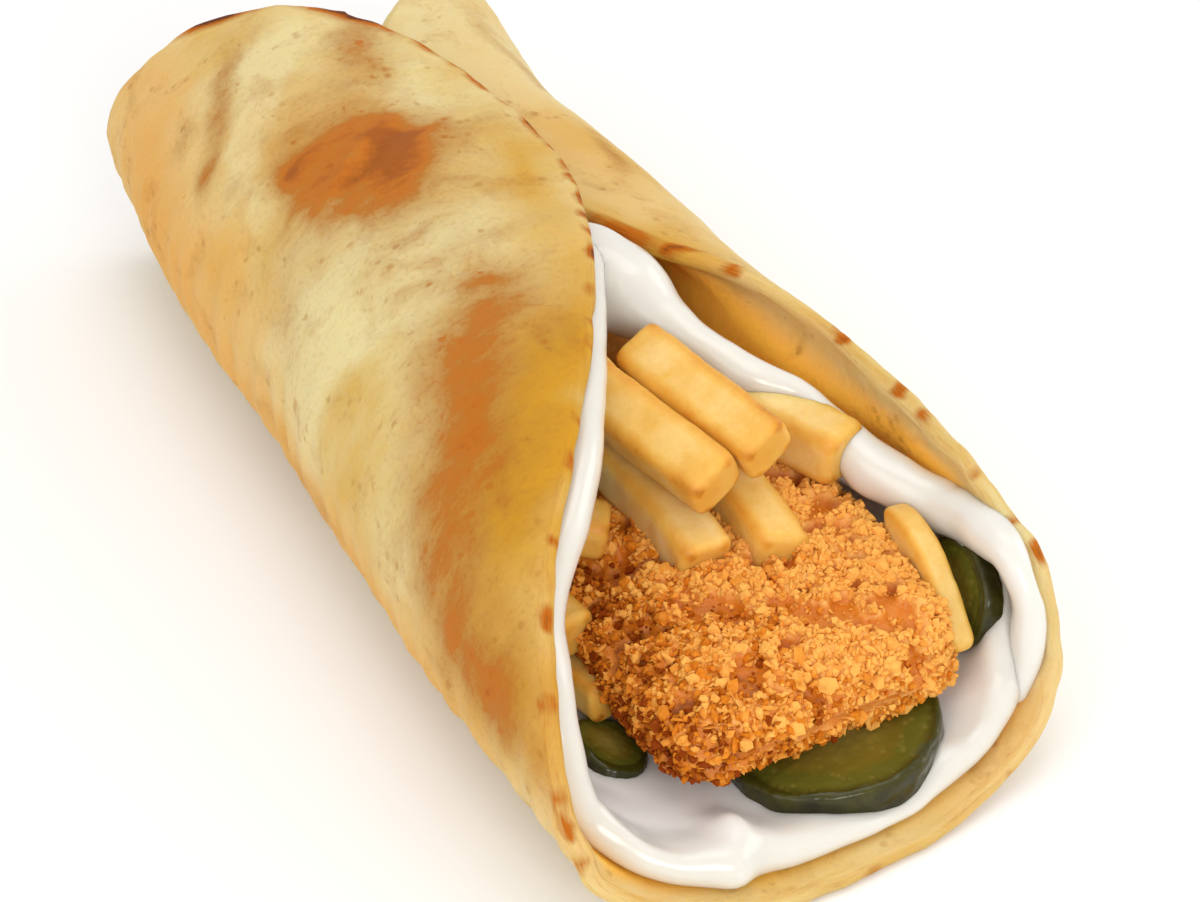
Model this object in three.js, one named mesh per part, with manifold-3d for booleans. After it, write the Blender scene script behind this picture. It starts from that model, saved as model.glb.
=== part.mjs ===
// Rolled flatbread sandwich: a round flatbread rolled round fries, a breaded cutlet, pickle slices and white
// garlic sauce, lying on its flat underside. Lengths are in millimetres, +Z is up and +Y runs along the roll,
// from the open mouth to the far end. The origin is at the middle of the underside.
import * as THREE from 'three';
import { mergeVertices } from 'three/addons/utils/BufferGeometryUtils.js';
import Module from 'manifold-3d';

const GAP = 0.3; // clearance between pieces that touch
const RIDGE_MARGIN = 0.4; // and between the ridge of sauce and the bread

// Outer section of the roll at stations from the far end to the mouth. Station 0 lies at y = CENTRE_Y.
const STATION_PITCH = 50;
const HALF_WIDTH = [37.0, 36.9, 40.2, 44.2, 43.2];
const HEIGHT = [55.5, 55.7, 56.1, 55.9, 54.3];
const CENTRE_X = [-2.4, -7.0, -4.4, -0.9, 1.3];
const CENTRE_Y = 3.5;
const WIDEST_AT = 0.42; // share of the height at which the roll is widest
const CROWN_POWER = 2.2; // superellipse power of the upper half
const BELLY_POWER = 2.6; // and of the lower half
const FLAT_DEPTH = 0.5; // the belly is pressed flat by this much
const CREASE = { reach: 3.4, turn: -0.55 * Math.PI, spread: 0.45, station: -45, fade: 14 };

// The flatbread before rolling: a nearly round sheet, in polar form round its middle. Angle 0 points to the
// mouth, a quarter turn to the right-hand edge, and minus a quarter turn to the flap that folds over the top.
const SHEET_RADIUS = 111.4;
const SHEET_WAVES = [
  [1, 0, 0.006], [2, -0.065, -0.017], [3, 0.061, -0.02], [4, -0.035, -0.018], [6, 0, -0.002],
];
const SHEET_LOBES = [
  { reach: 6.1, angle: 2.71, spread: 0.31 },
  { reach: 3.6, angle: -2.4, spread: 0.4 },
  { reach: -20, angle: 1.27, spread: 0.37 },
  { reach: -3.0, angle: -0.84, spread: 0.24 },
];
const SHEET_OFFSET = -11.7; // middle of the sheet, measured round the section from the underside
const SHEET_SKEW = 0.00164; // sideways drift of the sheet with the square of the station
const BREAD_THICKNESS = 3.0;
// The right-hand wall is puffed up towards the filling, most at this place and not at its edge.
const PUFF = { depth: 10, station: 4, length: 42, around: 64, width: 15, fromEdge: 9 };
const TUCK = { depth: 3.5, start: 75, end: 92, coverEnd: 6, coverStart: 28 };
const SHOULDER = { reach: 2.0, station: -28, around: 64, length: 24, width: 15 };

// Garlic sauce: a lining spread on the bread, set back from its edge, with dollops that make it thicker or
// thinner, and a ridge that runs from under the flap along the right side, given by its places and radii.
const SAUCE_SETBACK = 3.6;
const SAUCE_LOBES = [
  { reach: -3.4, angle: -0.46, spread: 0.11 },
  { reach: 1.6, angle: -0.24, spread: 0.035 },
];
const SIDE_EDGE = { reach: 62, free: 42, from: 60, to: 84 };
const FLAP_SETBACK = { setback: -2.8, from: -1.95, full: -1.65, fade: -1.0, to: -0.7 };
const SAUCE_THICKNESS = 4.0;
const SAUCE_BEAD = { thickness: 6.2, width: 14 };
const SEAM_EDGE = { reach: 97, slope: 0.27, free: 13, from: -6, to: 14 };
const SAUCE_DOLLOPS = [
  { station: 99, around: 7, length: 9, width: 13, height: -3.0 },
  { station: 97, around: -17, length: 4.5, width: 4.5, height: 2.6 },
  { station: 66, around: 52, length: 12, width: 12, height: -1.5 },
];
const SAUCE_RIDGE = [
  [-8.0, 8.0, 43.0, 6.0], [-1.0, 2.0, 45.0, 7.0], [5.0, -4.4, 45.4, 7.4], [8.8, -11.6, 44.4, 6.8],
  [11.8, -18.6, 42.4, 4.4], [14.2, -24.6, 41.0, 2.9], [19.0, -32.2, 38.5, 3.2], [25.1, -36.9, 36.5, 2.8],
  [27.9, -42.4, 34.0, 2.9], [29.8, -50.0, 30.6, 4.2], [32.8, -56.2, 29.0, 4.4], [36.2, -62.0, 28.4, 4.0],
  [38.0, -68.0, 29.0, 3.6], [38.4, -74.0, 29.8, 3.3], [38.6, -79.4, 29.6, 3.0], [39.2, -83.2, 26.0, 2.7],
  [39.4, -84.8, 20.5, 2.4], [38.4, -86.4, 14.5, 2.0], [35.4, -88.6, 9.6, 1.4],
];

// Mesh resolution.
const SHEET_SPOKES = 52;
const SHEET_RINGS = 8;
const OUTER_RINGS = [0, 0.5]; // shares of the way from the sauce's edge to the bread's edge
const EDGE_STEPS = 4;
const SECTION_STEPS = 240;

const COLOURS = {
  bread: 0xe9cf8c,
  sauce: 0xf4f3ee,
  crumb: 0xd98a3c,
  fry: 0xe8bb55,
  pickle: 0x5f6b22,
};

const wasm = await Module();
wasm.setup();

// ---------------------------------------------------------------------------------------------- helpers

const { clamp, lerp } = THREE.MathUtils;

function smooth(from, to, value) {
  const t = clamp((value - from) / (to - from), 0, 1);
  return t * t * (3 - 2 * t);
}

// Smooth curve through values given at the roll's stations.
function alongRoll(values) {
  const curve = new THREE.SplineCurve(values.map((value, i) => new THREE.Vector2(i, value)));
  const reach = STATION_PITCH * (values.length - 1);
  return (station) => curve.getPoint(clamp(station / reach + 0.5, 0, 1)).y;
}

// Closed body from rows of points: the first and last rows are closed by a middle point. The diagonals of
// the two halves mirror each other, so that the two faces of a sheet have the same facets.
function skin(rows) {
  const count = rows[0].length;
  const middle = (row) => row.reduce((sum, p) => sum.add(p), new THREE.Vector3()).divideScalar(count);
  const points = [middle(rows[0]), ...rows.flat(), middle(rows.at(-1))];
  const faces = [];
  for (let i = 0; i < count; i += 1) {
    const next = (i + 1) % count;
    faces.push(0, 1 + next, 1 + i);
    for (let row = 0; row < rows.length - 1; row += 1) {
      const a = 1 + row * count;
      const b = a + count;
      if (row < (rows.length - 1) / 2) faces.push(a + i, a + next, b + next, a + i, b + next, b + i);
      else faces.push(a + i, a + next, b + i, a + next, b + next, b + i);
    }
    const last = 1 + (rows.length - 1) * count;
    faces.push(points.length - 1, last + i, last + next);
  }
  const geometry = new THREE.BufferGeometry().setFromPoints(points);
  geometry.setIndex(faces);
  return geometry;
}

function toSolid(geometry) {
  const bare = geometry.clone();
  bare.deleteAttribute('normal');
  bare.deleteAttribute('uv');
  const merged = mergeVertices(bare, 1e-4);
  const vertProperties = new Float32Array(merged.attributes.position.array);
  const triVerts = new Uint32Array(merged.index.array);
  return new wasm.Manifold(new wasm.Mesh({ numProp: 3, vertProperties, triVerts }));
}

function fromSolid(solid) {
  const mesh = solid.getMesh();
  const geometry = new THREE.BufferGeometry();
  geometry.setAttribute('position', new THREE.BufferAttribute(mesh.vertProperties, 3));
  geometry.setIndex(new THREE.BufferAttribute(mesh.triVerts, 1));
  return geometry;
}

// What is left of a body after the others are cut out of it. Loose offcuts are dropped.
function carve(geometry, cutters) {
  const left = cutters.reduce((solid, cutter) => solid.subtract(toSolid(cutter)), toSolid(geometry));
  const bodies = left.decompose().sort((a, b) => b.volume() - a.volume());
  return fromSolid(bodies[0]);
}

function named(name, geometry, colour, roughness) {
  geometry.computeVertexNormals();
  const material = new THREE.MeshStandardMaterial({ color: colour, roughness, metalness: 0 });
  const mesh = new THREE.Mesh(geometry, material);
  mesh.name = name;
  return mesh;
}

// ---------------------------------------------------------------------------------------- the roll's form

const halfWidth = alongRoll(HALF_WIDTH);
const height = alongRoll(HEIGHT);
const centreX = alongRoll(CENTRE_X);

// Outline of the roll at a station, with the length measured round it from the middle of the underside.
function section(station) {
  const width = halfWidth(station);
  const top = height(station);
  const waist = WIDEST_AT * top;
  const crease = CREASE.reach / (1 + Math.exp((station - CREASE.station) / CREASE.fade));
  const outline = [];
  for (let i = 0; i <= SECTION_STEPS; i += 1) {
    const turn = Math.PI * (2 * i / SECTION_STEPS - 1);
    const across = Math.sin(turn);
    const up = -Math.cos(turn);
    const power = up > 0 ? CROWN_POWER : BELLY_POWER;
    const reach = (Math.abs(across) ** power + Math.abs(up) ** power) ** (-1 / power);
    const pull = crease * Math.exp(-(((turn - CREASE.turn) / CREASE.spread) ** 2));
    const x = width * across * reach - pull + centreX(station);
    const z = waist + up * reach * (up > 0 ? top - waist : waist);
    outline.push({ x, z: Math.max(z, FLAT_DEPTH) - FLAT_DEPTH, around: 0 });
  }
  for (let i = 1; i <= SECTION_STEPS; i += 1) {
    const [a, b] = [outline[i - 1], outline[i]];
    b.around = a.around + Math.hypot(b.x - a.x, b.z - a.z);
  }
  const start = outline[SECTION_STEPS / 2].around;
  const girth = outline[SECTION_STEPS].around;
  outline.forEach((p) => { p.around -= start; });
  return { outline, girth };
}

// Point on the roll's outer surface: a station, and a length round the section from the underside, positive
// to the right. Past the top the length carries on down the other side.
function onRoll(station, around) {
  const { outline, girth } = section(station);
  const wrapped = around - girth * Math.round(around / girth);
  let low = 0;
  let high = SECTION_STEPS;
  while (high - low > 1) {
    const mid = (low + high) >> 1;
    if (outline[mid].around > wrapped) high = mid;
    else low = mid;
  }
  const [a, b] = [outline[low], outline[high]];
  const t = clamp((wrapped - a.around) / (b.around - a.around), 0, 1);
  return new THREE.Vector3(lerp(a.x, b.x, t), CENTRE_Y - station, lerp(a.z, b.z, t));
}

// How far the right-hand part dips in to pass under the flap, less the soft shoulder that stands out beside
// the flap's edge.
function dip(station, around) {
  const covered = 1 - smooth(TUCK.coverEnd, TUCK.coverStart, station);
  const away = ((station - SHOULDER.station) / SHOULDER.length) ** 2
    + ((around - SHOULDER.around) / SHOULDER.width) ** 2;
  return TUCK.depth * covered * smooth(TUCK.start, TUCK.end, around) - SHOULDER.reach * Math.exp(-away);
}

// Point at a depth below the roll's outer surface.
function inRoll(station, around, depth) {
  const step = 1.5;
  const round = onRoll(station, around + step).sub(onRoll(station, around - step));
  const along = onRoll(station + step, around).sub(onRoll(station - step, around));
  const inwards = along.cross(round).normalize();
  return onRoll(station, around).addScaledVector(inwards, depth + dip(station, around));
}

// ------------------------------------------------------------------------------------ bread and its sauce

function lobes(list, angle) {
  const lobeAt = ({ reach, angle: middle, spread }) => reach * Math.exp(-(((angle - middle) / spread) ** 2));
  return list.reduce((sum, lobe) => sum + lobeAt(lobe), 0);
}

function sheetReach(angle) {
  const waves = SHEET_WAVES.reduce(
    (sum, [n, cosine, sine]) => sum + cosine * Math.cos(n * angle) + sine * Math.sin(n * angle),
    1,
  );
  return SHEET_RADIUS * waves + lobes(SHEET_LOBES, angle);
}

// Extra thickness of the bread in its puffed-up right-hand wall.
function puffed(station, around, toEdge) {
  const away = ((station - PUFF.station) / PUFF.length) ** 2 + ((around - PUFF.around) / PUFF.width) ** 2;
  return PUFF.depth * Math.exp(-away) * smooth(0, PUFF.fromEdge, toEdge);
}

// The sauce stops short of the bread's edge, of a line along the right-hand wall, and of the seam under the
// flap.
function sauceReach(angle) {
  const onFlap = smooth(FLAP_SETBACK.from, FLAP_SETBACK.full, angle)
    * (1 - smooth(FLAP_SETBACK.fade, FLAP_SETBACK.to, angle));
  const setback = lerp(SAUCE_SETBACK, FLAP_SETBACK.setback, onFlap);
  const free = sheetReach(angle) - setback + lobes(SAUCE_LOBES, angle);
  const station = free * Math.cos(angle);
  const seam = SEAM_EDGE.reach + SEAM_EDGE.slope * station
    + SEAM_EDGE.free * smooth(SEAM_EDGE.from, SEAM_EDGE.to, station);
  const side = SIDE_EDGE.reach + SIDE_EDGE.free * smooth(SIDE_EDGE.from, SIDE_EDGE.to, station);
  return Math.min(free, (angle < 0 ? seam : side) / Math.max(Math.abs(Math.sin(angle)), 0.2));
}

// Station and length round the section of a place in the sheet, by angle and distance from its middle.
function sheetPlace(angle, distance) {
  const station = distance * Math.cos(angle);
  return [station, SHEET_OFFSET + SHEET_SKEW * station ** 2 + distance * Math.sin(angle)];
}

// Depth of the bread's inner face there.
function innerFace(angle, distance) {
  return BREAD_THICKNESS + puffed(...sheetPlace(angle, distance), sheetReach(angle) - distance);
}

const SPOKES = Array.from({ length: SHEET_SPOKES }, (_, i) => Math.PI * (2 * (i + 0.5) / SHEET_SPOKES - 1));

function sheetRow(distanceAt, depthAt) {
  return SPOKES.map((angle) => {
    const distance = distanceAt(angle);
    return inRoll(...sheetPlace(angle, distance), depthAt(angle, distance));
  });
}

// Rounded edge of a sheet: half a circle from the outer to the inner face.
function edgeRows(reachAt, outerDepthAt, thickness) {
  return Array.from({ length: EDGE_STEPS + 1 }, (_, i) => {
    const turn = Math.PI * i / EDGE_STEPS;
    return sheetRow(
      (angle) => reachAt(angle) - thickness / 2 * (1 - Math.sin(turn)),
      (angle, distance) => outerDepthAt(angle, distance) + thickness / 2 * (1 - Math.cos(turn)),
    );
  });
}

// The bread and the sauce share the rings below, so their facets lie parallel.
function ringDistance(angle, ring) {
  return (sauceReach(angle) - SAUCE_BEAD.thickness / 2) * ring / SHEET_RINGS;
}

function rings(count, depthAt) {
  return Array.from({ length: count }, (_, i) => sheetRow((angle) => ringDistance(angle, i + 1), depthAt));
}

// The bread, grown on both faces and at its edge by a margin.
function breadGeometry(margin = 0) {
  const reach = (angle) => sheetReach(angle) + margin;
  const rim = (angle) => reach(angle) - BREAD_THICKNESS / 2 - margin;
  const face = (depthAt) => [
    ...rings(SHEET_RINGS, depthAt),
    ...OUTER_RINGS.map((share) => sheetRow((angle) => lerp(sauceReach(angle), rim(angle), share), depthAt)),
  ];
  const edge = edgeRows(reach, () => -margin, BREAD_THICKNESS + 2 * margin);
  const inner = (angle, distance) => innerFace(angle, distance) + margin;
  return skin([...face(() => -margin), ...edge, ...face(inner).reverse()]);
}

function sauceThickness(angle, distance) {
  const [station, around] = sheetPlace(angle, distance);
  const bead = smooth(-SAUCE_BEAD.width, -SAUCE_BEAD.thickness / 2, distance - sauceReach(angle));
  return SAUCE_DOLLOPS.reduce((sum, dollop) => {
    const away = ((station - dollop.station) / dollop.length) ** 2
      + ((around - dollop.around) / dollop.width) ** 2;
    return sum + dollop.height * Math.exp(-away);
  }, lerp(SAUCE_THICKNESS, SAUCE_BEAD.thickness, bead));
}

function sauceGeometry() {
  const outer = (angle, distance) => innerFace(angle, distance) + GAP;
  const inner = (angle, distance) => outer(angle, distance) + sauceThickness(angle, distance);
  const edge = edgeRows(sauceReach, outer, SAUCE_BEAD.thickness);
  return skin([...rings(SHEET_RINGS - 1, outer), ...edge, ...rings(SHEET_RINGS - 1, inner).reverse()]);
}

// Round bar along a smooth curve through places with radii.
function ropeGeometry(places) {
  const count = 7;
  const curve = new THREE.CatmullRomCurve3(places.map(([x, y, z]) => new THREE.Vector3(x, y, z)));
  return skin(places.map(([, , , radius], row) => {
    const t = row / (places.length - 1);
    const [centre, forward] = [curve.getPoint(t), curve.getTangent(t)];
    const side = new THREE.Vector3().crossVectors(forward, new THREE.Vector3(0, 0, 1)).normalize();
    const up = new THREE.Vector3().crossVectors(side, forward);
    return Array.from({ length: count }, (_, i) => {
      const turn = Math.PI * 2 * i / count;
      const [across, rise] = [radius * Math.cos(turn), radius * Math.sin(turn)];
      return centre.clone().addScaledVector(side, across).addScaledVector(up, rise);
    }).reverse();
  }));
}

// ------------------------------------------------------------------------------------------ the filling

// Square outline with cut corners.
const CORNERS = [[1, 0.7], [0.7, 1], [-0.7, 1], [-1, 0.7], [-1, -0.7], [-0.7, -1], [0.7, -1], [1, -0.7]];

// Bar with a square section along a curve, such as a cut potato stick. The near end may be slanted.
function stick({ path, width, thickness, slant = 0, roll = 0, grow = 0 }) {
  const curve = new THREE.CatmullRomCurve3(path.map((p) => new THREE.Vector3(...p)));
  const stations = [0, 0.06, 0.35, 0.65, 0.94, 1];
  return skin(stations.map((t) => {
    const centre = curve.getPointAt(t);
    const forward = curve.getTangentAt(t);
    const side = new THREE.Vector3().crossVectors(forward, new THREE.Vector3(0, 0, 1)).normalize();
    const up = new THREE.Vector3().crossVectors(side, forward);
    side.applyAxisAngle(forward, roll);
    up.applyAxisAngle(forward, roll);
    const isEnd = t === 0 || t === 1;
    const shrink = isEnd ? 0.82 : 1;
    centre.addScaledVector(forward, isEnd ? Math.sign(t - 0.5) * grow : 0);
    return CORNERS.map(([u, v]) => {
      const across = (width / 2 + grow) * u * shrink;
      const rise = (thickness / 2 + grow) * v * shrink;
      const cut = t < 0.5 ? 0 : slant * (rise + across);
      return centre.clone().addScaledVector(side, across).addScaledVector(up, rise)
        .addScaledVector(forward, cut);
    }).reverse();
  }));
}

// Each fry by its middle line, from the end inside the roll to the end that shows.
const FRIES = [
  {
    path: [[3.4, -26, 43.8], [6.6, -39.5, 42.9], [11.2, -54.5, 40.9]],
    width: 9.2, thickness: 8.8, roll: 0.5,
  },
  { path: [[-9.6, -17, 43.4], [-4.8, -36, 41.6], [2.0, -56, 38.2]], width: 9.2, thickness: 8.8, roll: 0.5 },
  { path: [[15.0, -26, 32.8], [19.8, -34, 32.8], [27.4, -49.5, 32.0]], width: 9.4, thickness: 9.2 },
  { path: [[-6.4, -20, 31.6], [-2.8, -42, 29.4], [-1.0, -58.2, 26.2]], width: 8.8, thickness: 8.4 },
  { path: [[4.6, -26, 31.2], [8.4, -44, 30.6], [10.6, -62, 26.0]], width: 8.2, thickness: 7.8, slant: -0.4 },
  { path: [[-29.6, -37, 29.0], [-20.5, -41.6, 28.8], [-11.6, -46.3, 27.6]], width: 8.0, thickness: 7.0 },
  { path: [[29.7, -61, 26.0], [29.9, -70, 25.0], [30.2, -80, 15.0]], width: 4.2, thickness: 6.4 },
  { path: [[-28.3, -28, 20.6], [-26.2, -44, 20.8], [-23.4, -59.5, 20.6]], width: 7.6, thickness: 7.0 },
  { path: [[-26.6, -36, 11.2], [-23.7, -52, 12.0], [-20.3, -66.5, 13.4]], width: 7.0, thickness: 6.8 },
];

// Slice of a pickled cucumber: a thick oval disc with a softly rounded skin.
function slice({ centre, radii, thickness, lean, grow = 0 }) {
  const turnTo = new THREE.Euler(0, THREE.MathUtils.degToRad(lean), 0);
  const count = 18;
  const round = 1.3;
  const half = thickness / 2 + grow;
  const levels = [[-half, round], [-half + round * 0.6, 0], [half - round * 0.6, 0], [half, round]];
  return skin(levels.map(([z, inset]) => Array.from({ length: count }, (_, i) => {
    const turn = Math.PI * 2 * i / count;
    const wobble = 1 + 0.012 * Math.cos(5 * turn) + 0.01 * Math.sin(3 * turn);
    const [x, y] = [Math.cos(turn) * (radii[0] * wobble - inset + grow),
      Math.sin(turn) * (radii[1] * wobble - inset + grow)];
    return new THREE.Vector3(x, y, z).applyEuler(turnTo).add(new THREE.Vector3(...centre));
  })));
}

const PICKLES = [
  { centre: [8.0, -82.8, 7.6], radii: [17.2, 14.8], thickness: 6.0, lean: -5 },
  { centre: [35.4, -72.0, 18.6], radii: [8.8, 9.0], thickness: 4.0, lean: -75 },
  { centre: [-30.2, -57.5, 13.4], radii: [6.0, 8.2], thickness: 3.4, lean: 76 },
  { centre: [-23.6, -71.4, 7.8], radii: [6.2, 6.8], thickness: 4.2, lean: 20 },
];

// Breaded cutlet: a thick slab with a blunt front that runs through the roll.
const CUTLET = {
  from: -87.5, to: 82, centreX: [4.8, 1.5, -3.5], halfWidth: [24.0, 24.0, 21.5],
  base: [10.2, 9.2, 9.6], top: [25.8, 26.6, 26.6], rounding: 8, power: 3.6, tilt: 0.09, skew: 0.1,
};

// Smooth run of three values along the cutlet or the heap.
function runOf([a, b, c]) {
  return (t) => (1 - t) * (1 - 2 * t) * a + 4 * t * (1 - t) * b + t * (2 * t - 1) * c;
}

// Slab along the roll with closed ends and an uneven outline.
function slab(form, grow = 0) {
  const rows = 15;
  const count = 18;
  const length = form.to - form.from;
  const [middle, half, base, top] = [form.centreX, form.halfWidth, form.base, form.top].map(runOf);
  return skin(Array.from({ length: rows }, (_, row) => {
    const sweep = lerp(0.03, 0.97, row / (rows - 1));
    const y = form.from - grow + (length + 2 * grow) * (0.5 - 0.5 * Math.cos(Math.PI * sweep));
    const t = (y - form.from) / length;
    const inset = clamp(Math.min(y - form.from, form.to - y) / form.rounding, 0.02, 1);
    const close = Math.sqrt(1 - (1 - inset) ** 2);
    const [width, low, high] = [half(t) * lerp(0.6, 1, close), base(t), top(t)];
    const waist = lerp(low, high, 0.42);
    return Array.from({ length: count }, (_, i) => {
      const turn = Math.PI * 2 * i / count;
      const [u, v] = [Math.cos(turn), Math.sin(turn)];
      const reach = (Math.abs(u) ** form.power + Math.abs(v) ** form.power) ** (-1 / form.power);
      const lump = 1 + 0.02 * Math.sin(3 * turn + y / 9) + 0.018 * Math.sin(y / 5.3 + 2 * turn);
      const across = (width * lump + grow) * u * reach;
      const span = (v > 0 ? high - waist + form.tilt * across : waist - low) * close + grow;
      return new THREE.Vector3(middle(t) + across, y + form.skew * across, waist + span * v * reach);
    }).reverse();
  }));
}

// Heap of fries behind the ones that show, out to its uneven outline. It lies over the cutlet and down
// beside it.
const HEAP = {
  from: 10, to: 84, centreX: [-6.8, -8.2, -6.4], halfWidth: [27.8, 26.6, 25.6],
  base: [11, 10.5, 11], top: [45.0, 44.6, 43.6], rounding: 7, power: 2.2, tilt: -0.05, skew: 0,
};

// ------------------------------------------------------------------------------------------- assembly

const group = new THREE.Group();

const grownFries = FRIES.map((form) => stick({ ...form, grow: GAP }));
const grownPickles = PICKLES.map((form) => slice({ ...form, grow: GAP }));
const grownCutlet = slab(CUTLET, 2 * GAP);
const cutlet = carve(slab(CUTLET), [...grownFries, ...grownPickles]);
const heap = carve(slab(HEAP), [grownCutlet, ...grownFries]);
const ridge = toSolid(ropeGeometry(SAUCE_RIDGE)).subtract(toSolid(breadGeometry(RIDGE_MARGIN)));
const spread = fromSolid(toSolid(sauceGeometry()).add(ridge));
const sauce = carve(spread, [grownCutlet, slab(HEAP, 2 * GAP), ...grownFries, ...grownPickles]);

group.add(named('flatbread', breadGeometry(), COLOURS.bread, 0.75));
group.add(named('garlic_sauce', sauce, COLOURS.sauce, 0.25));
group.add(named('breaded_cutlet', cutlet, COLOURS.crumb, 0.8));
FRIES.forEach((form, i) => group.add(named(`fry_${i + 1}`, stick(form), COLOURS.fry, 0.5)));
PICKLES.forEach((form, i) => group.add(named(`pickle_slice_${i + 1}`, slice(form), COLOURS.pickle, 0.2)));
group.add(named('fries_heap', heap, COLOURS.fry, 0.5));

export default group;
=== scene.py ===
"""Rolled potato sandwich: a flatbread rolled round fries, a breaded cutlet, pickle slices and garlic sauce.

Sizes inside the script are in millimetres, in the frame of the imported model: +Z is up and +Y runs along the
roll from its open mouth to its far end. The function that writes a mesh turns them to metres. Places on the
roll are a station, measured along it towards the mouth, and a length round its section from the underside,
positive to the right.
"""

import math

import bmesh
import bpy
import numpy as np
from bpy.props import FloatProperty, FloatVectorProperty, IntProperty, PointerProperty
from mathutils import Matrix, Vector


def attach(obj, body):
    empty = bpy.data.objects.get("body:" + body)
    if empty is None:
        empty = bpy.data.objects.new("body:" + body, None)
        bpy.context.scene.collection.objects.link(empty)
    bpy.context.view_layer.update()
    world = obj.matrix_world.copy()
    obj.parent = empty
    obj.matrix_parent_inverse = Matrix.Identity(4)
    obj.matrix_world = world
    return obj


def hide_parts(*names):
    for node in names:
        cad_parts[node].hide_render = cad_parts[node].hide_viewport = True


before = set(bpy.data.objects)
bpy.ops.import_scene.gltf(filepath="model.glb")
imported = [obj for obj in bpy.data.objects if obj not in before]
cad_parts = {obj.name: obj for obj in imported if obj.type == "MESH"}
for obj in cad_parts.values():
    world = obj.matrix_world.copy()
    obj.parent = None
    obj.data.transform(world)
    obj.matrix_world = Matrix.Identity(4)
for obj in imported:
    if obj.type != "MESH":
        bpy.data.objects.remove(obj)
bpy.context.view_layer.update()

bl_info = {
    "name": "Rolled potato sandwich",
    "version": (1, 0, 0),
    "blender": (4, 5, 0),
    "location": "3D view > Sidebar > Sandwich",
    "description": "Makes a flatbread rolled round fries, a breaded cutlet, pickles and garlic sauce",
    "category": "Add Mesh",
}

MM = 0.001

# ------------------------------------------------------------------------------------------- the roll's sizes

BREAD_THICKNESS = 3.0
STATION_PITCH = 50.0
# How far the roll's table reaches each way, and its steps, along the roll and round it.
STATION_REACH, STATION_STEP = 118.0, 2.0
AROUND_REACH, AROUND_STEP = 150.0, 1.0
HALF_WIDTH = (37.0, 36.9, 40.2, 44.2, 43.2)
HEIGHT = (55.5, 55.7, 56.1, 55.9, 54.3)
CENTRE_X = (-2.4, -7.0, -4.4, -0.9, 1.3)
CENTRE_Y = 3.5
WIDEST_AT = 0.42
CROWN_POWER = 2.2
BELLY_POWER = 2.6
FLAT_DEPTH = 0.5
CREASE = {"reach": 3.4, "turn": -0.55 * math.pi, "spread": 0.45, "station": -45.0, "fade": 14.0}
TUCK = {"depth": 3.5, "start": 75.0, "end": 92.0, "cover_end": 6.0, "cover_start": 28.0}
SHOULDER = {"reach": 2.0, "station": -28.0, "around": 64.0, "length": 24.0, "width": 15.0}

SHEET_RADIUS = 111.4
SHEET_WAVES = (
    (1, 0.0, 0.006), (2, -0.065, -0.017), (3, 0.061, -0.02), (4, -0.035, -0.018), (6, 0.0, -0.002),
)
SHEET_LOBES = ((6.1, 2.71, 0.31), (3.6, -2.4, 0.4), (-20.0, 1.27, 0.37), (-3.0, -0.84, 0.24))
SHEET_OFFSET = -11.7
SHEET_SKEW = 0.00164
# The right-hand wall is puffed up towards the filling: most at this place, and not at its edge.
PUFF = {"depth": 10.0, "station": 4.0, "length": 42.0, "around": 64.0, "width": 15.0, "from_edge": 9.0}

# The bread's folds: a crease across the toasted patch, ripples on the left side, and a ridge across the flap.
TOAST_CREASE = {
    "station": -27, "around": -96, "turn": 61, "length": 12, "width": 1.9, "height": 1.1, "steepness": 1.3,
    "sway": 1.2, "sway_length": 7,
}
RIPPLES = {"around": -50, "width": 13, "height": 0.3, "length": 1.25}
FLAP_RIDGE = {"station": 4, "around": -95, "slope": 0.35, "width": 7, "height": 0.7, "start": -60, "end": -80}
# Heights over which the folds fade towards the underside, and where the bread under the flap is kept smooth.
UNDERSIDE = {"flat": 3.0, "free": 12.0}
OVERLAP = {"start": 66, "full": 80, "cover_end": 14, "cover_start": 34, "sink": 0.5}
EDGE_WAVES_WIDTH = 5
# Brown specks along the bread's edge: their place in the noise, its threshold, and their depth and spread.
SPECKS = {
    "pitch": 100, "squeeze": 0.8, "start": 0.3, "full": 0.9, "depth": 0.8, "spread": 1.3, "strength": 0.6,
}
# Keeps the pattern on the bread's inner face apart from the outer one.
INNER_SHIFT = 40
# Spokes of the bread's and the sauce's mesh, rows of each face and how they crowd towards the edge.
BREAD_ROWS = {"spokes": 560, "outer": 84, "outer_power": 0.94, "inner": 54, "inner_power": 0.8, "round": 9}
SAUCE_ROWS = {"spokes": 480, "back": 8, "round": 13, "fine": 0.75, "fine_to": 18.0, "step": 2.6, "to": 44.0}
SAUCE_DEEP = {"rows": 13, "from_edge": 46.0}
# Radius of the circle on which the noise round the sheet is read.
RING_RADIUS = 40

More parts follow.
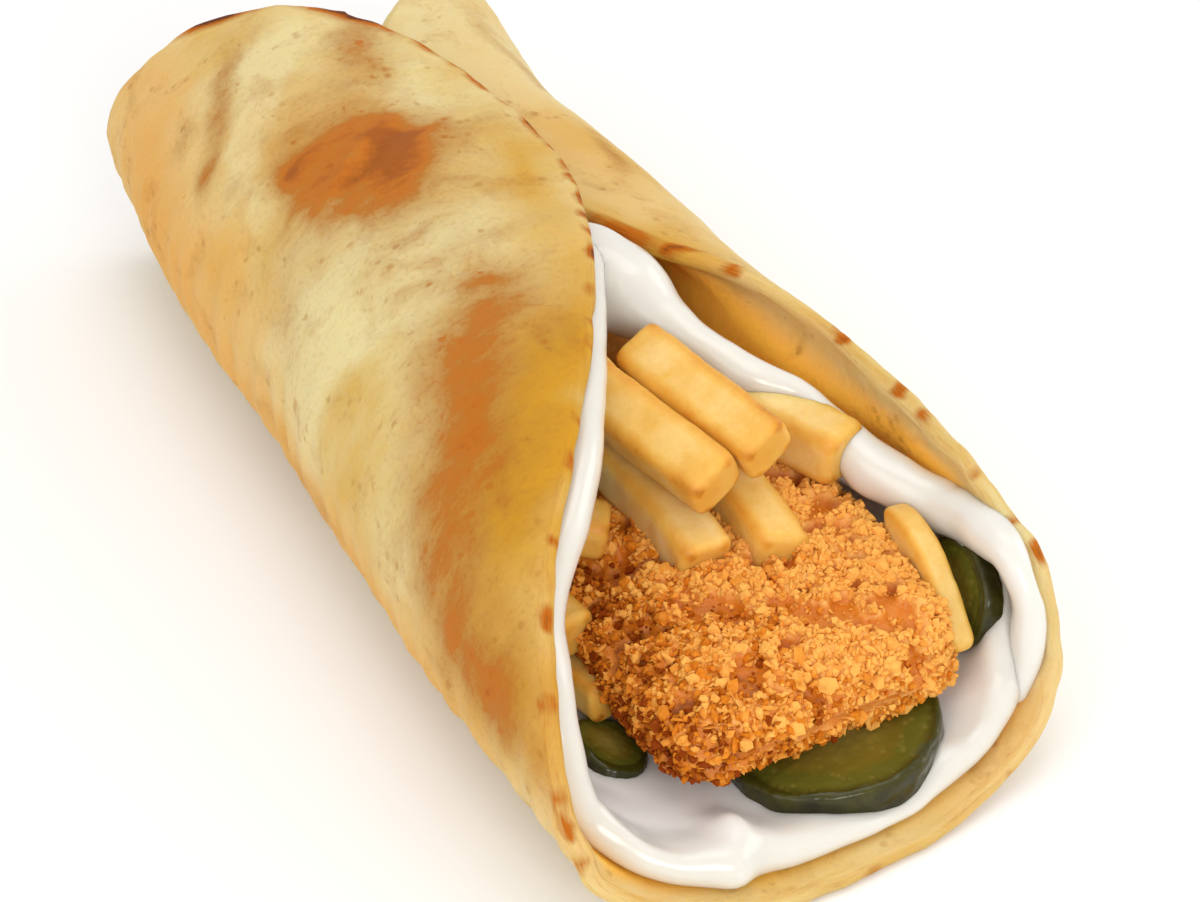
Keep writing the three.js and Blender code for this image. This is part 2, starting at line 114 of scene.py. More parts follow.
# Layers of soft noise: height, size and seed.
LAYERS = {
    "folds": ((0.7, 26, 11), (0.34, 11, 12)),
    "ripple_sway": ((2.5, 12, 13),),
    "bread_outline": ((0.5, 3.2, 21), (0.3, 1.4, 22)),
    "bread_edge": ((0.18, 4.0, 23),),
    "edge_waves": ((0.4, 5.0, 31),),
    "bread_grain": ((0.18, 3.6, 32), (0.08, 1.7, 33)),
    "toast_along": ((4.0, 13, 41), (2.2, 4.5, 42)),
    "toast_round": ((4.0, 13, 46), (2.2, 4.5, 47)),
    "specks": ((1.0, 4.6, 43), (0.5, 2.2, 44)),
    "fray": ((0.012, 1.8, 45),),
    "sauce_outline": ((1.4, 5.0, 51), (0.6, 2.2, 52)),
    "sauce_edge": ((0.2, 4.0, 53),),
    "sauce_waves": ((0.5, 12, 54),),
    "sauce_grain": ((0.25, 5, 55),),
    "sauce_ridge": ((0.7, 11, 56), (0.4, 5, 57)),
    "clumps": ((1.0, 4.6, 61), (0.6, 2.3, 62)),
    "coating": ((0.5, 3.6, 65),),
    "fry": ((0.38, 9, 71), (0.16, 3.6, 72), (0.07, 1.4, 73)),
    "fries_core": ((0.6, 8, 81),),
    "pickle_ripple": ((3.0, 6, 91),),
    "pickle_skin": ((0.22, 3.0, 92),),
    "pickle_sag": ((0.28, 4.5, 93), (0.12, 1.8, 94)),
}

SAUCE_SETBACK = 3.6
# How far the sauce sinks into the bread, and how far in the painted shade at its rim reaches; the ridge gets
# a fixed share of that painted shade.
SAUCE_SUNK = 0.15
RIM_SPREAD = 7
RIDGE_OIL = 0.8
SIDE_EDGE = {"reach": 62.0, "free": 42.0, "start": 60.0, "end": 84.0}
SAUCE_LOBES = ((-3.4, -0.46, 0.11), (1.6, -0.24, 0.035))
FLAP_SETBACK = {"setback": -2.8, "start": -1.95, "full": -1.65, "fade": -1.0, "end": -0.7}
SEAM_EDGE = {"reach": 97.0, "slope": 0.27, "free": 13.0, "start": -6.0, "end": 14.0}

# Extra thickness of the sauce: station, length round the section, half length, half width, height.
SAUCE_DOLLOPS = (
    (99.0, 7.0, 9.0, 13.0, -3.0), (97.0, -17.0, 4.5, 4.5, 2.6), (66.0, 52.0, 12.0, 12.0, -1.5),
)
# Ridge of sauce that runs from under the flap along the right side: x, y, z and radius.
SAUCE_RIDGE = (
    (-8.0, 8.0, 43.0, 6.0), (-1.0, 2.0, 45.0, 7.0), (5.0, -4.4, 45.4, 7.4), (8.8, -11.6, 44.4, 6.8),
    (11.8, -18.6, 42.4, 4.4), (14.2, -24.6, 41.0, 2.9), (19.0, -32.2, 38.5, 3.2), (25.1, -36.9, 36.5, 2.8),
    (27.9, -42.4, 34.0, 2.9), (29.8, -50.0, 30.6, 4.2), (32.8, -56.2, 29.0, 4.4), (36.2, -62.0, 28.4, 4.0),
    (38.0, -68.0, 29.0, 3.6), (38.4, -74.0, 29.8, 3.3), (38.6, -79.4, 29.6, 3.0), (39.2, -83.2, 26.0, 2.7),
    (39.4, -84.8, 20.5, 2.4), (38.4, -86.4, 14.5, 2.0), (35.4, -88.6, 9.6, 1.4),
)

# The fries in the mouth: near and far end and the middle between them, width and thickness, how brown each is
# coloured, 0 to 1, turn about its length in radians and slant of its far end. The brown is kept low on fries
# 3, 4 and 7 as painted light where they lie in shade, and higher on the lit fries 1 and 2 as painted shade.
FRIES = (
    (((3.4, -26, 43.8), (6.6, -39.5, 42.9), (11.2, -54.5, 40.9)), 9.2, 8.8, 0.4, 0.5, 0.0),
    (((-9.6, -17, 43.4), (-4.8, -36, 41.6), (2.0, -56, 38.2)), 9.2, 8.8, 0.5, 0.5, 0.0),
    (((15.0, -26, 32.8), (19.8, -34, 32.8), (27.4, -49.5, 32.0)), 9.4, 9.2, 0.1, 0.0, 0.0),
    (((-6.4, -20, 31.6), (-2.8, -42, 29.4), (-1.0, -58.2, 26.2)), 8.8, 8.4, 0.0, 0.0, 0.0),
    (((4.6, -26, 31.2), (8.4, -44, 30.6), (10.6, -62, 26.0)), 8.2, 7.8, 0.4, 0.0, -0.4),
    (((-29.6, -37, 29.0), (-20.5, -41.6, 28.8), (-11.6, -46.3, 27.6)), 8.0, 7.0, 0.7, 0.0, 0.0),
    (((29.7, -61, 26.0), (29.9, -70, 25.0), (30.2, -80, 15.0)), 4.2, 6.4, 0.2, 0.0, 0.0),
    (((-28.3, -28, 20.6), (-26.2, -44, 20.8), (-23.4, -59.5, 20.6)), 7.6, 7.0, 0.4, 0.0, 0.0),
    (((-26.6, -36, 11.2), (-23.7, -52, 12.0), (-20.3, -66.5, 13.4)), 7.0, 6.8, 0.6, 0.0, 0.0),
)

# Pickle slices: middle, half length and half width, thickness, and lean in degrees.
PICKLES = (
    ((8.0, -82.8, 7.6), (17.2, 14.8), 6.0, -5), ((35.4, -72.0, 18.6), (8.8, 9.0), 4.0, -75),
    ((-30.2, -57.5, 13.4), (6.0, 8.2), 3.4, 76), ((-23.6, -71.4, 7.8), (6.2, 6.8), 4.2, 20),
)

CUTLET = {
    "start": -87.5, "end": 82.0, "centre_x": (4.8, 1.5, -3.5), "half_width": (24.0, 24.0, 21.5),
    "base": (10.2, 9.2, 9.6), "top": (25.8, 26.6, 26.6), "rounding": 8.0, "power": 3.6, "tilt": 0.09,
    "skew": 0.1,
}
CUTLET_STEPS = {"near_step": 0.46, "near_length": 60.0, "far_length": 14.0, "spokes": 420}
# How much of the cutlet can be seen at its near and its far end, and how many places are tried for crumbs.
IN_SIGHT = (58, 16)
CRUMB_TRIES = 40000
# The cutlet's coating: limits of the noise for bare hollows and for clumps, how far clumps and bumps rise,
# and how deep it all starts in the slab.
COATING = {"bare": -0.8, "clumped": -0.1, "clumps": 1.3, "bumps": 2.0, "sunk": 1.9}
# Its rounded bumps: height, size and seed.
CRUMB_BUMPS = ((0.4, 3.1, 66), (0.35, 1.4, 63), (0.25, 0.85, 64))
# Painted light and shade on the cutlet: where it is painted darkest, low down at the left, the lengths across
# and up over which it is painted paler towards the upper right, and the middle value.
PALER = {"x": -24, "across": 96, "z": 8, "up": 40, "middle": 0.6}

HEAP = {
    "start": 10.0, "end": 84.0, "centre_x": (-6.8, -8.2, -6.4), "half_width": (27.8, 26.6, 25.6),
    "base": (11.0, 10.5, 11.0), "top": (45.0, 44.6, 43.6), "rounding": 7.0, "power": 2.2, "tilt": -0.05,
    "skew": 0.0,
}
HEAP_STEPS = {"near_step": 3.0, "near_length": 20.0, "far_length": 20.0, "spokes": 72}
# The core of the heap: how far back its ends lie, and its share of the heap's width and height.
CORE = {"near_end": 6, "far_end": 9, "share": 0.86}
# Middles of the fries in the heap, across from its middle and up.
HEAP_PLACES = (
    (-18.0, 32.5), (-8.8, 33.4), (0.6, 33.0), (10.0, 32.6), (18.8, 31.4), (-12.4, 41.0), (-2.6, 41.6),
    (7.4, 41.0), (-23.6, 23.4), (-22.0, 14.8), (24.4, 22.6), (24.0, 14.4),
)
SLAB_WAIST = 0.42
SLAB_END_WIDTH = 0.6

# Browned places on the bread: station, length round the section, half length, half width, turn in degrees
# from the roll's axis, strength.
TOASTED = (
    (-26, -95, 15, 10, 0, 0.42), (-24, -95, 25, 17, 0, 0.28), (-31, -101, 9, 5, 0, 0.3),
    (-30, -86, 9, 4, 10, 0.22), (-20, -99, 10, 5, 20, 0.2), (-27, -97, 13, 1.4, 61, 0.3),
    (-33, -89, 9, 1.2, 61, 0.25), (-58, -106, 11, 6, 25, 0.3), (-61, -78.5, 15, 2.6, 34, 0.42),
    (-50, -71, 4, 3, 0, 0.3), (-64, -70, 3, 2.5, 0, 0.26), (22, -97, 13, 11, 0, 0.36),
    (34, -92, 13, 11, 20, 0.36), (46, -84, 14, 12, 40, 0.34), (57, -76, 13, 9, 50, 0.28),
    (72, -67, 16, 9, 16, 0.4), (80, -62, 9, 7, 20, 0.22), (10, -48, 16, 5, 0, 0.2),
    (-8, -70, 12, 6, 20, 0.16), (-24, 60, 12, 4, 12, 0.2), (-60, 75, 16, 3, -18, 0.3),
    (-20, 10, 26, 16, 30, 0.4), (40, 24, 20, 12, -20, 0.36), (-64, 34, 16, 10, 15, 0.4),
    (60, -24, 18, 9, 10, 0.36), (-21, 78, 8, 1.6, 20, 0.4),
)
GOLDEN = (
    (58, -88, 26, 13, 35, 1.2), (84, -66, 14, 7, 20, 0.8), (36, -108, 22, 6, 30, 0.8),
    (-6, -117, 26, 7, 14, 0.95), (0, 98, 34, 10, 0, 0.5), (14, 87, 18, 6, -25, 0.9),
    (-23, 75, 14, 10, 0, 0.8), (-78, 66, 16, 16, 0, 0.3),
)
# Paler places on the bread, in the same columns. The broad ones on the right-hand side are painted light
# falling from the right; the small ones on the flap are its own paler crust.
PALE = (
    (10, 96, 70, 30, 0, 0.4), (-60, 60, 40, 40, 0, 0.6), (2, -112, 5, 14, 20, 0.6), (8, -82, 6, 24, 4, 1.1),
    (-52, -83, 20, 4.5, 27, 1.3), (-4, -74, 5, 16, 12, 0.7), (92, -2, 12, 60, 0, 0.3),
    (80, 60, 20, 18, 0, 0.2), (52, -104, 16, 5, 35, 0.4), (-14, -82, 8, 6, 0, 0.4),
    (-44, -110, 12, 5, 20, 0.5),
)
BLUSHED = (
    (-74, -62, 22, 14, 20, 0.8), (-46, -50, 28, 13, 10, 0.75), (-4, -48, 34, 11, 0, 0.7),
    (-30, -64, 20, 6, 0, 0.5), (50, -50, 38, 11, -5, 0.8), (-36, -92, 24, 15, -24, 0.4),
    (-20, 84, 44, 12, 0, 0.55), (98, 20, 16, 70, 0, 0.4),
)
# Burnt stretches of the bread's edge: angle in the sheet, half length in radians, depth, strength.
BURNT_EDGE = (
    (-2.34, 0.045, 2.6, 1.7), (-2.16, 0.055, 1.9, 1.4), (-2.15, 0.075, 4.5, 0.4), (-2.03, 0.02, 1.8, 0.8),
    (-1.98, 0.014, 1.6, 0.7), (-1.93, 0.02, 1.8, 0.8), (-1.87, 0.014, 1.7, 0.75), (-1.8, 0.016, 1.9, 0.85),
    (-1.73, 0.012, 1.8, 0.8), (-1.66, 0.014, 1.6, 0.75), (-1.61, 0.01, 1.5, 0.65), (-1.83, 0.3, 0.9, 0.4),
    (-1.56, 0.012, 1.7, 0.85), (-1.51, 0.012, 1.8, 0.9), (-1.46, 0.01, 1.5, 0.8),
    (-1.405, 0.012, 1.7, 0.85), (-1.25, 0.008, 1.1, 0.6), (-1.2, 0.012, 1.2, 0.6), (-1.05, 0.012, 1.2, 0.6),
    (-0.98, 0.01, 1.1, 0.55), (-0.855, 0.012, 1.2, 0.6), (-0.755, 0.015, 1.4, 0.6),
    (-0.66, 0.012, 1.5, 0.6), (-0.555, 0.012, 1.8, 0.55), (-0.52, 0.01, 1.5, 0.5), (-0.48, 0.012, 1.5, 0.5),
    (-0.36, 0.012, 1.2, 0.5), (-0.05, 0.02, 1.0, 0.4), (0.24, 0.012, 1.0, 0.5), (1.54, 0.05, 2.0, 0.6),
    (1.47, 0.012, 1.5, 0.6), (1.38, 0.014, 1.5, 0.6), (1.17, 0.012, 1.3, 0.65), (1.02, 0.014, 1.5, 0.7),
    (0.95, 0.018, 1.1, 0.5), (0.82, 0.012, 1.0, 0.5), (0.72, 0.012, 1.0, 0.55), (0.65, 0.016, 1.4, 0.65),
)

CAMERA_TARGET = (3.83, -10.47, 14.32)
LENS, SENSOR_WIDTH = 100.0, 36.0
FLOOR_REACH = 3000.0
# Name, place, diameter in millimetres, and power in watts at a light strength of 1.
LIGHTS = (
    ("key_light", (60.0, 60.0, 950.0), 700.0, 5.6),
    ("left_light", (-760.0, -460.0, 560.0), 700.0, 5.0),
    ("front_light", (-200.0, -980.0, 520.0), 500.0, 12.0),
    ("right_light", (840.0, -120.0, 440.0), 600.0, 5.0),
)

# ---------------------------------------------------------------------------------------------------- helpers


def linear(code):
    """Linear red, green, blue and alpha of an sRGB hex colour."""
    parts = [int(code[i:i + 2], 16) / 255 for i in (1, 3, 5)]
    return tuple(p / 12.92 if p <= 0.04045 else ((p + 0.055) / 1.055) ** 2.4 for p in parts) + (1.0,)


def per_size(size):
    """Scale of a pattern whose features are this many millimetres across."""
    return 1 / (size * MM)


def ease(start, end, value):
    """0 up to start, 1 from end on, and a smooth step between."""
    t = np.clip((value - start) / (end - start), 0.0, 1.0)
    return t * t * (3.0 - 2.0 * t)


def soft_noise(points, size, seed):
    """Noise between -1 and 1: random values at the corners of cells of that size, eased between them."""
    lattice = np.random.default_rng(seed).uniform(-1, 1, (32, 32, 32))
    scaled = np.asarray(points, float) / size + 400.5
    cell = np.floor(scaled).astype(int)
    t = scaled - cell
    t = t * t * t * (t * (6 * t - 15) + 10)
    total = np.zeros(scaled.shape[:-1])
    for corner in np.ndindex(2, 2, 2):
        near = np.where(np.array(corner, bool), t, 1 - t).prod(-1)
        i, j, k = np.moveaxis((cell + corner) % 32, -1, 0)
        total += near * lattice[i, j, k]
    return total


def flat_points(*columns):
    """Points from coordinate arrays, with missing coordinates 0."""
    columns = np.broadcast_arrays(*columns, *([0.0] * (3 - len(columns))))
    return np.stack(columns, -1).astype(float)


def layered(points, name):
    """Sum of the layers of soft noise of that name."""
    return sum(height * soft_noise(points, size, seed) for height, size, seed in LAYERS[name])


def ring_points(angle):
    """Points of a circle at angles in the sheet, so that noise read there closes round the sheet."""
    return flat_points(RING_RADIUS * np.cos(angle), RING_RADIUS * np.sin(angle))


def bell(value, width):
    """Gaussian of a value: 1 at 0, and small beyond the width."""
    return np.exp(-((value / width) ** 2))


def turned(u, v, degrees):
    """The pair of lengths along and across axes turned by that many degrees."""
    turn = math.radians(degrees)
    return u * math.cos(turn) + v * math.sin(turn), v * math.cos(turn) - u * math.sin(turn)


def spots(places, station, around):
    """Sum of soft elliptic spots, each a Gaussian in its own turned axes."""
    total = np.zeros(np.shape(station))
    for at, round_at, half_length, half_width, turn, strength in places:
        along, across = turned(station - at, around - round_at, turn)
        total += strength * bell(along, half_length) * bell(across, half_width)
    return total


def superellipse(u, v, power):
    """Distance from the middle of a superellipse of half width 1 to its outline, in the direction u, v."""
    return (np.abs(u) ** power + np.abs(v) ** power) ** (-1 / power)


def unit(vectors):
    """The vectors at length 1."""
    return vectors / np.maximum(np.linalg.norm(vectors, axis=-1, keepdims=True), 1e-9)


def cross_axes(forward):
    """Unit directions sideways and upwards, square to the unit direction forwards."""
    side = unit(np.cross(forward, (0.0, 0.0, 1.0)))
    return side, np.cross(side, forward)


def write_piece(name, points, faces, attributes=None, smooth=True):
    """Mesh object from points in millimetres and arrays of faces with 3 or 4 corners."""
    mesh = bpy.data.meshes.new(name)
    points = np.asarray(points, float).reshape(-1, 3)
    mesh.vertices.add(len(points))
    mesh.vertices.foreach_set("co", (points * MM).ravel())
    corners = np.concatenate([np.asarray(f, int).ravel() for f in faces])
    sizes = np.concatenate([np.full(len(f), np.shape(f)[1]) for f in faces])
    mesh.loops.add(len(corners))
    mesh.loops.foreach_set("vertex_index", corners)
    mesh.polygons.add(len(sizes))
    mesh.polygons.foreach_set("loop_start", np.cumsum(sizes) - sizes)
    mesh.polygons.foreach_set("use_smooth", np.full(len(sizes), smooth))
    for label, values in (attributes or {}).items():
        values = np.asarray(values, np.float32)
        kind, key = ("FLOAT_VECTOR", "vector") if values.ndim == 2 else ("FLOAT", "value")
        mesh.attributes.new(label, kind, "POINT").data.foreach_set(key, values.ravel())
    mesh.update(calc_edges=True)
    if mesh.validate():
        raise RuntimeError(f"the mesh of {name} was not sound")
    piece = bpy.data.objects.new(name, mesh)
    bpy.context.scene.collection.objects.link(piece)
    return piece


def skin_faces(rows, count):
    """Quads between rows of a closed grid, and triangles from each end row to its middle point, which come
    before and after the rows."""
    i = np.arange(count)
    after = (i + 1) % count
    first = 1 + np.arange(rows - 1)[:, None] * count
    quads = np.stack([first + i, first + after, first + count + after, first + count + i], -1).reshape(-1, 4)
    last = 1 + (rows - 1) * count
    start = np.stack([np.zeros_like(i), 1 + after, 1 + i], -1)
    end = np.stack([np.full_like(i, last + count), last + i, last + after], -1)
    return [quads, np.concatenate([start, end])]


def with_poles(grid):
    """Values of a grid as one list, with the mean of the first row before it and of the last row after it."""
    flat = grid.reshape((-1,) + grid.shape[2:])
    return np.concatenate([grid[:1].mean(1), flat, grid[-1:].mean(1)])


def write_skin(name, grid, attributes=None):
    """Closed piece from a grid of rows of points."""
    attributes = {label: with_poles(values) for label, values in (attributes or {}).items()}
    return write_piece(name, with_poles(grid), skin_faces(*grid.shape[:2]), attributes)


def settle_piece(piece, slot, material, *nodes):
    """Gives a finished piece its material and body, and hides the nodes it stands for; the slot is not used.
    """
    piece.data.materials.append(material)
    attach(piece, "root")
    if nodes:
        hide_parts(*nodes)
    return piece


def add_node(material, kind, inputs=None, stops=None, **settings):
    """Adds a shader node: settings are its properties, inputs are values or sockets to link, and stops are
    the positions and colours of a colour ramp."""
    tree = material.node_tree
    made = tree.nodes.new(kind)
    for label, value in settings.items():
        setattr(made, label, value)
    if stops:
        elements = made.color_ramp.elements
        while len(elements) < len(stops):
            elements.new(1.0)
        for element, (place, colour) in zip(elements, stops):
            element.position = place
            element.color = colour
    for label, value in (inputs or {}).items():
        if isinstance(value, bpy.types.NodeSocket):
            tree.links.new(value, made.inputs[label])
        else:
            made.inputs[label].default_value = value
    return made


def new_material(name):
    """Material with an empty node tree."""
    material = bpy.data.materials.new(name)
    material.use_nodes = True
    material.node_tree.nodes.clear()
    return material


def blended(material, base, over, amount):
    """Colour socket of one colour laid over another."""
    return add_node(material, "ShaderNodeMix", {0: amount, 6: base, 7: over}, data_type="RGBA").outputs[2]


def attribute(material, label, output="Fac"):
    """Socket of what the piece's points carry under that name."""
    return add_node(material, "ShaderNodeAttribute", attribute_name=label).outputs[output]


def noise(material, place, size, detail=2.0, roughness=0.5, distortion=0.0):
    """Socket of a noise whose blobs are that many millimetres across."""
    return add_node(material, "ShaderNodeTexNoise", {
        "Vector": place, "Scale": per_size(size), "Detail": detail, "Roughness": roughness,
        "Distortion": distortion}).outputs["Fac"]


def cells(material, place, size):
    """Socket of the distance to the nearest of points scattered that many millimetres apart."""
    return add_node(material, "ShaderNodeTexVoronoi", {
        "Vector": place, "Scale": per_size(size)}).outputs["Distance"]


def times(material, value, factor, plus=0.0, clamped=False):
    """Socket of a value times a factor, plus another value."""
    return add_node(material, "ShaderNodeMath", {0: value, 1: factor, 2: plus}, operation="MULTIPLY_ADD",
                    use_clamp=clamped).outputs[0]


def remap(material, value, low, high, to_low=0.0, to_high=1.0, interpolation="LINEAR"):
    """Socket of a value carried from one range to another."""
    return add_node(material, "ShaderNodeMapRange", {
        "Value": value, "From Min": low, "From Max": high, "To Min": to_low, "To Max": to_high},
        interpolation_type=interpolation).outputs[0]


def ramp(material, value, *stops):
    """Socket of the colour at a value, between stops that each have a position and a colour."""
    return add_node(material, "ShaderNodeValToRGB", {"Fac": value}, stops=stops).outputs["Color"]


def surface(material, colour, height, strength, depth, sink, sink_colours, sink_depth, **finish):
    """Ends a material with a bump, by strength and depth in millimetres, and a shader into which light sinks,
    by share, colours and depth in millimetres. The finish is its other inputs."""
    bump = add_node(material, "ShaderNodeBump", {
        "Strength": strength, "Distance": depth * MM, "Height": height})
    finish = {label.replace("_", " "): value for label, value in finish.items()}
    shader = add_node(material, "ShaderNodeBsdfPrincipled", {
        "Base Color": colour, "Normal": bump.outputs["Normal"], "Subsurface Weight": sink,
        "Subsurface Radius": sink_colours, "Subsurface Scale": sink_depth * MM, **finish},
        subsurface_method="RANDOM_WALK")
    add_node(material, "ShaderNodeOutputMaterial", {"Surface": shader.outputs[0]})
    return material


# -------------------------------------------------------------------------------------------- the roll's form


def through(values, at):
    """Catmull-Rom curve through values given at whole numbers."""
    knots = np.asarray(values, float)
    last = len(knots) - 1
    at = np.clip(at, 0, last)
    low = np.minimum(np.floor(at).astype(int), last - 1)
    t = at - low
    before, start, end, after = (knots[np.clip(low + k, 0, last)] for k in (-1, 0, 1, 2))
    leaving, arriving = (end - before) / 2, (after - start) / 2
    cubic = 2 * start - 2 * end + leaving + arriving
    square = 3 * end - 3 * start - 2 * leaving - arriving
    return cubic * t**3 + square * t**2 + leaving * t + start


def roll_table():
    """Outer surface of the roll on a grid of stations and lengths round the section.

    Each section is a superellipse, with one power above its widest level and another below, pulled out to the
    left by a soft crease and cut flat underneath. Its outline is then read at even lengths."""
    steps = 1440
    stations = np.arange(-STATION_REACH, STATION_REACH + STATION_STEP / 2, STATION_STEP)
    arounds = np.arange(-AROUND_REACH, AROUND_REACH + AROUND_STEP / 2, AROUND_STEP)
    knot = stations[:, None] / STATION_PITCH + len(HALF_WIDTH) // 2
    width, top, middle = (through(values, knot) for values in (HALF_WIDTH, HEIGHT, CENTRE_X))
    turn = np.linspace(-np.pi, np.pi, steps + 1)[None]
    across, up = np.sin(turn), -np.cos(turn)
    reach = superellipse(across, up, np.where(up > 0, CROWN_POWER, BELLY_POWER))
    crease = CREASE["reach"] / (1 + np.exp((stations[:, None] - CREASE["station"]) / CREASE["fade"]))
    pull = crease * bell(turn - CREASE["turn"], CREASE["spread"])
    waist = WIDEST_AT * top
    x = width * across * reach - pull + middle
    z = waist + up * reach * np.where(up > 0, top - waist, waist)
    z = np.maximum(z, FLAT_DEPTH) - FLAT_DEPTH
    length = np.cumsum(np.hypot(np.diff(x, prepend=x[:, :1]), np.diff(z, prepend=z[:, :1])), 1)
    girth = length[:, -1:]
    length = length - length[:, steps // 2][:, None]
    wrapped = arounds - girth * np.round(arounds / girth)
    outlines = [[np.interp(w, l, v) for w, l, v in zip(wrapped, length, side)] for side in (x, z)]
    return stations, arounds, np.array(outlines)


STATIONS, AROUNDS, OUTLINES = roll_table()


def on_roll(station, around):
    """Points of the roll's outer surface: its table, read by cubic weights of the four nearest each way."""
    station, around = np.broadcast_arrays(np.asarray(station, float), np.asarray(around, float))
    places = []
    for value, knots in ((station, STATIONS), (around, AROUNDS)):
        at = np.clip((value - knots[0]) / (knots[1] - knots[0]), 1, len(knots) - 3)
        low = np.minimum(np.floor(at).astype(int), len(knots) - 3)
        t = at - low
        weights = (
            (-t + 2 * t**2 - t**3) / 2, (2 - 5 * t**2 + 3 * t**3) / 2,
            (t + 4 * t**2 - 3 * t**3) / 2, (t**3 - t**2) / 2,
        )
        places.append([(low + k - 1, w) for k, w in enumerate(weights)])
    x, z = sum(ws * wa * OUTLINES[:, s, a] for s, ws in places[0] for a, wa in places[1])
    return np.stack([x, CENTRE_Y - station, z], -1)


def dip(station, around):
    """How far the right-hand part dips in under the flap, less the shoulder beside the flap's edge."""
    covered = 1 - ease(TUCK["cover_end"], TUCK["cover_start"], station)
    shoulder = bell(station - SHOULDER["station"], SHOULDER["length"])
    shoulder = SHOULDER["reach"] * shoulder * bell(around - SHOULDER["around"], SHOULDER["width"])
    return TUCK["depth"] * covered * ease(TUCK["start"], TUCK["end"], around) - shoulder


def in_roll(station, around, depth):
    """Points at a depth below the roll's outer surface, along the surface's own normals."""
    step = 1.5
    round_way = on_roll(station, around + step) - on_roll(station, around - step)
    along = on_roll(station + step, around) - on_roll(station - step, around)
    inwards = unit(np.cross(along, round_way))
    return on_roll(station, around) + inwards * (depth + dip(station, around))[..., None]


def sheet_reach(angle):
    """Distance from the middle of the unrolled bread to its edge: a circle with a few waves and lobes."""
    waves = 1 + sum(c * np.cos(n * angle) + s * np.sin(n * angle) for n, c, s in SHEET_WAVES)
    lobes = sum(r * bell(angle - a, w) for r, a, w in SHEET_LOBES)
    return SHEET_RADIUS * waves + lobes


def sheet_place(angle, distance):
    """Station and length round the section of a place in the unrolled bread."""
    station = distance * np.cos(angle)
    return station, SHEET_OFFSET + SHEET_SKEW * station**2 + distance * np.sin(angle)


def puffed(station, around, to_edge):
    """How much thicker the bread is than its edge: a Gaussian bump in the right-hand wall."""
    bump = bell(station - PUFF["station"], PUFF["length"]) * bell(around - PUFF["around"], PUFF["width"])
    return PUFF["depth"] * bump * ease(0.0, PUFF["from_edge"], to_edge)


def spokes(count):
    """Even angles round the sheet."""
    return (np.arange(count) + 0.5) * 2 * np.pi / count - np.pi


# -------------------------------------------------------------------------------------------------- flatbread


def bread_folds(station, around):
    """Outward shift of the whole bread: broad unevenness, the crease across the toasted patch, ripples on the
    left side, and a soft ridge that runs across the flap."""
    place = flat_points(station, around)
    crease, ripples, flap = TOAST_CREASE, RIPPLES, FLAP_RIDGE
    along, across = turned(station - crease["station"], around - crease["around"], crease["turn"])
    across = across + crease["sway"] * np.sin(along / crease["sway_length"])
    fold = np.exp(-((along / crease["length"]) ** 4)) * bell(across, crease["width"])
    rise = layered(place, "folds") + crease["height"] * fold * across / crease["steepness"]
    left = bell(around - ripples["around"], ripples["width"])
    wave = np.sin(station / ripples["length"] + layered(place, "ripple_sway"))
    rise = rise + ripples["height"] * left * wave
    ridge = station - flap["station"] + flap["slope"] * (around - flap["around"])
    return rise + flap["height"] * bell(ridge, flap["width"]) * ease(flap["start"], flap["end"], around)


def underside_fade(station, around):
    """1 on the bread's sides and top, 0 where it lies on its underside."""
    return ease(UNDERSIDE["flat"], UNDERSIDE["free"], on_roll(station, around)[..., 2])


def overlap_fade(station, around):
    """0 where the right-hand part lies under the flap, and 1 elsewhere."""
    covered = 1 - ease(OVERLAP["cover_end"], OVERLAP["cover_start"], station)
    return 1 - ease(OVERLAP["start"], OVERLAP["full"], around) * covered


def bread_rows(settings):
    """Grids of angle, distance, depth, distance to the edge and side for the bread: its outer face from the
    middle to the edge, half a circle round the edge, and its inner face back to the middle."""
    rows = BREAD_ROWS
    angle = spokes(rows["spokes"])
    ring = ring_points(angle)
    reach = sheet_reach(angle) + layered(ring, "bread_outline")
    half = settings.thickness / MM / 2 * (1 + layered(ring, "bread_edge"))
    outer = (np.arange(1, rows["outer"] + 1) / rows["outer"]) ** rows["outer_power"]
    inner = ((np.arange(1, rows["inner"] + 1) / rows["inner"]) ** rows["inner_power"])[::-1]
    turn = np.linspace(0, np.pi, rows["round"])[1:-1]
    face = reach - half
    distance = np.concatenate([
        outer[:, None] * face, face + half * np.sin(turn)[:, None], inner[:, None] * face])
    side = np.concatenate([np.zeros(len(outer)), turn / np.pi, np.ones(len(inner))])[:, None]
    side = np.broadcast_to(side, distance.shape)
    depth = half * (1 - np.cos(side * np.pi))
    return np.broadcast_to(angle, distance.shape), distance, depth, reach - distance, side


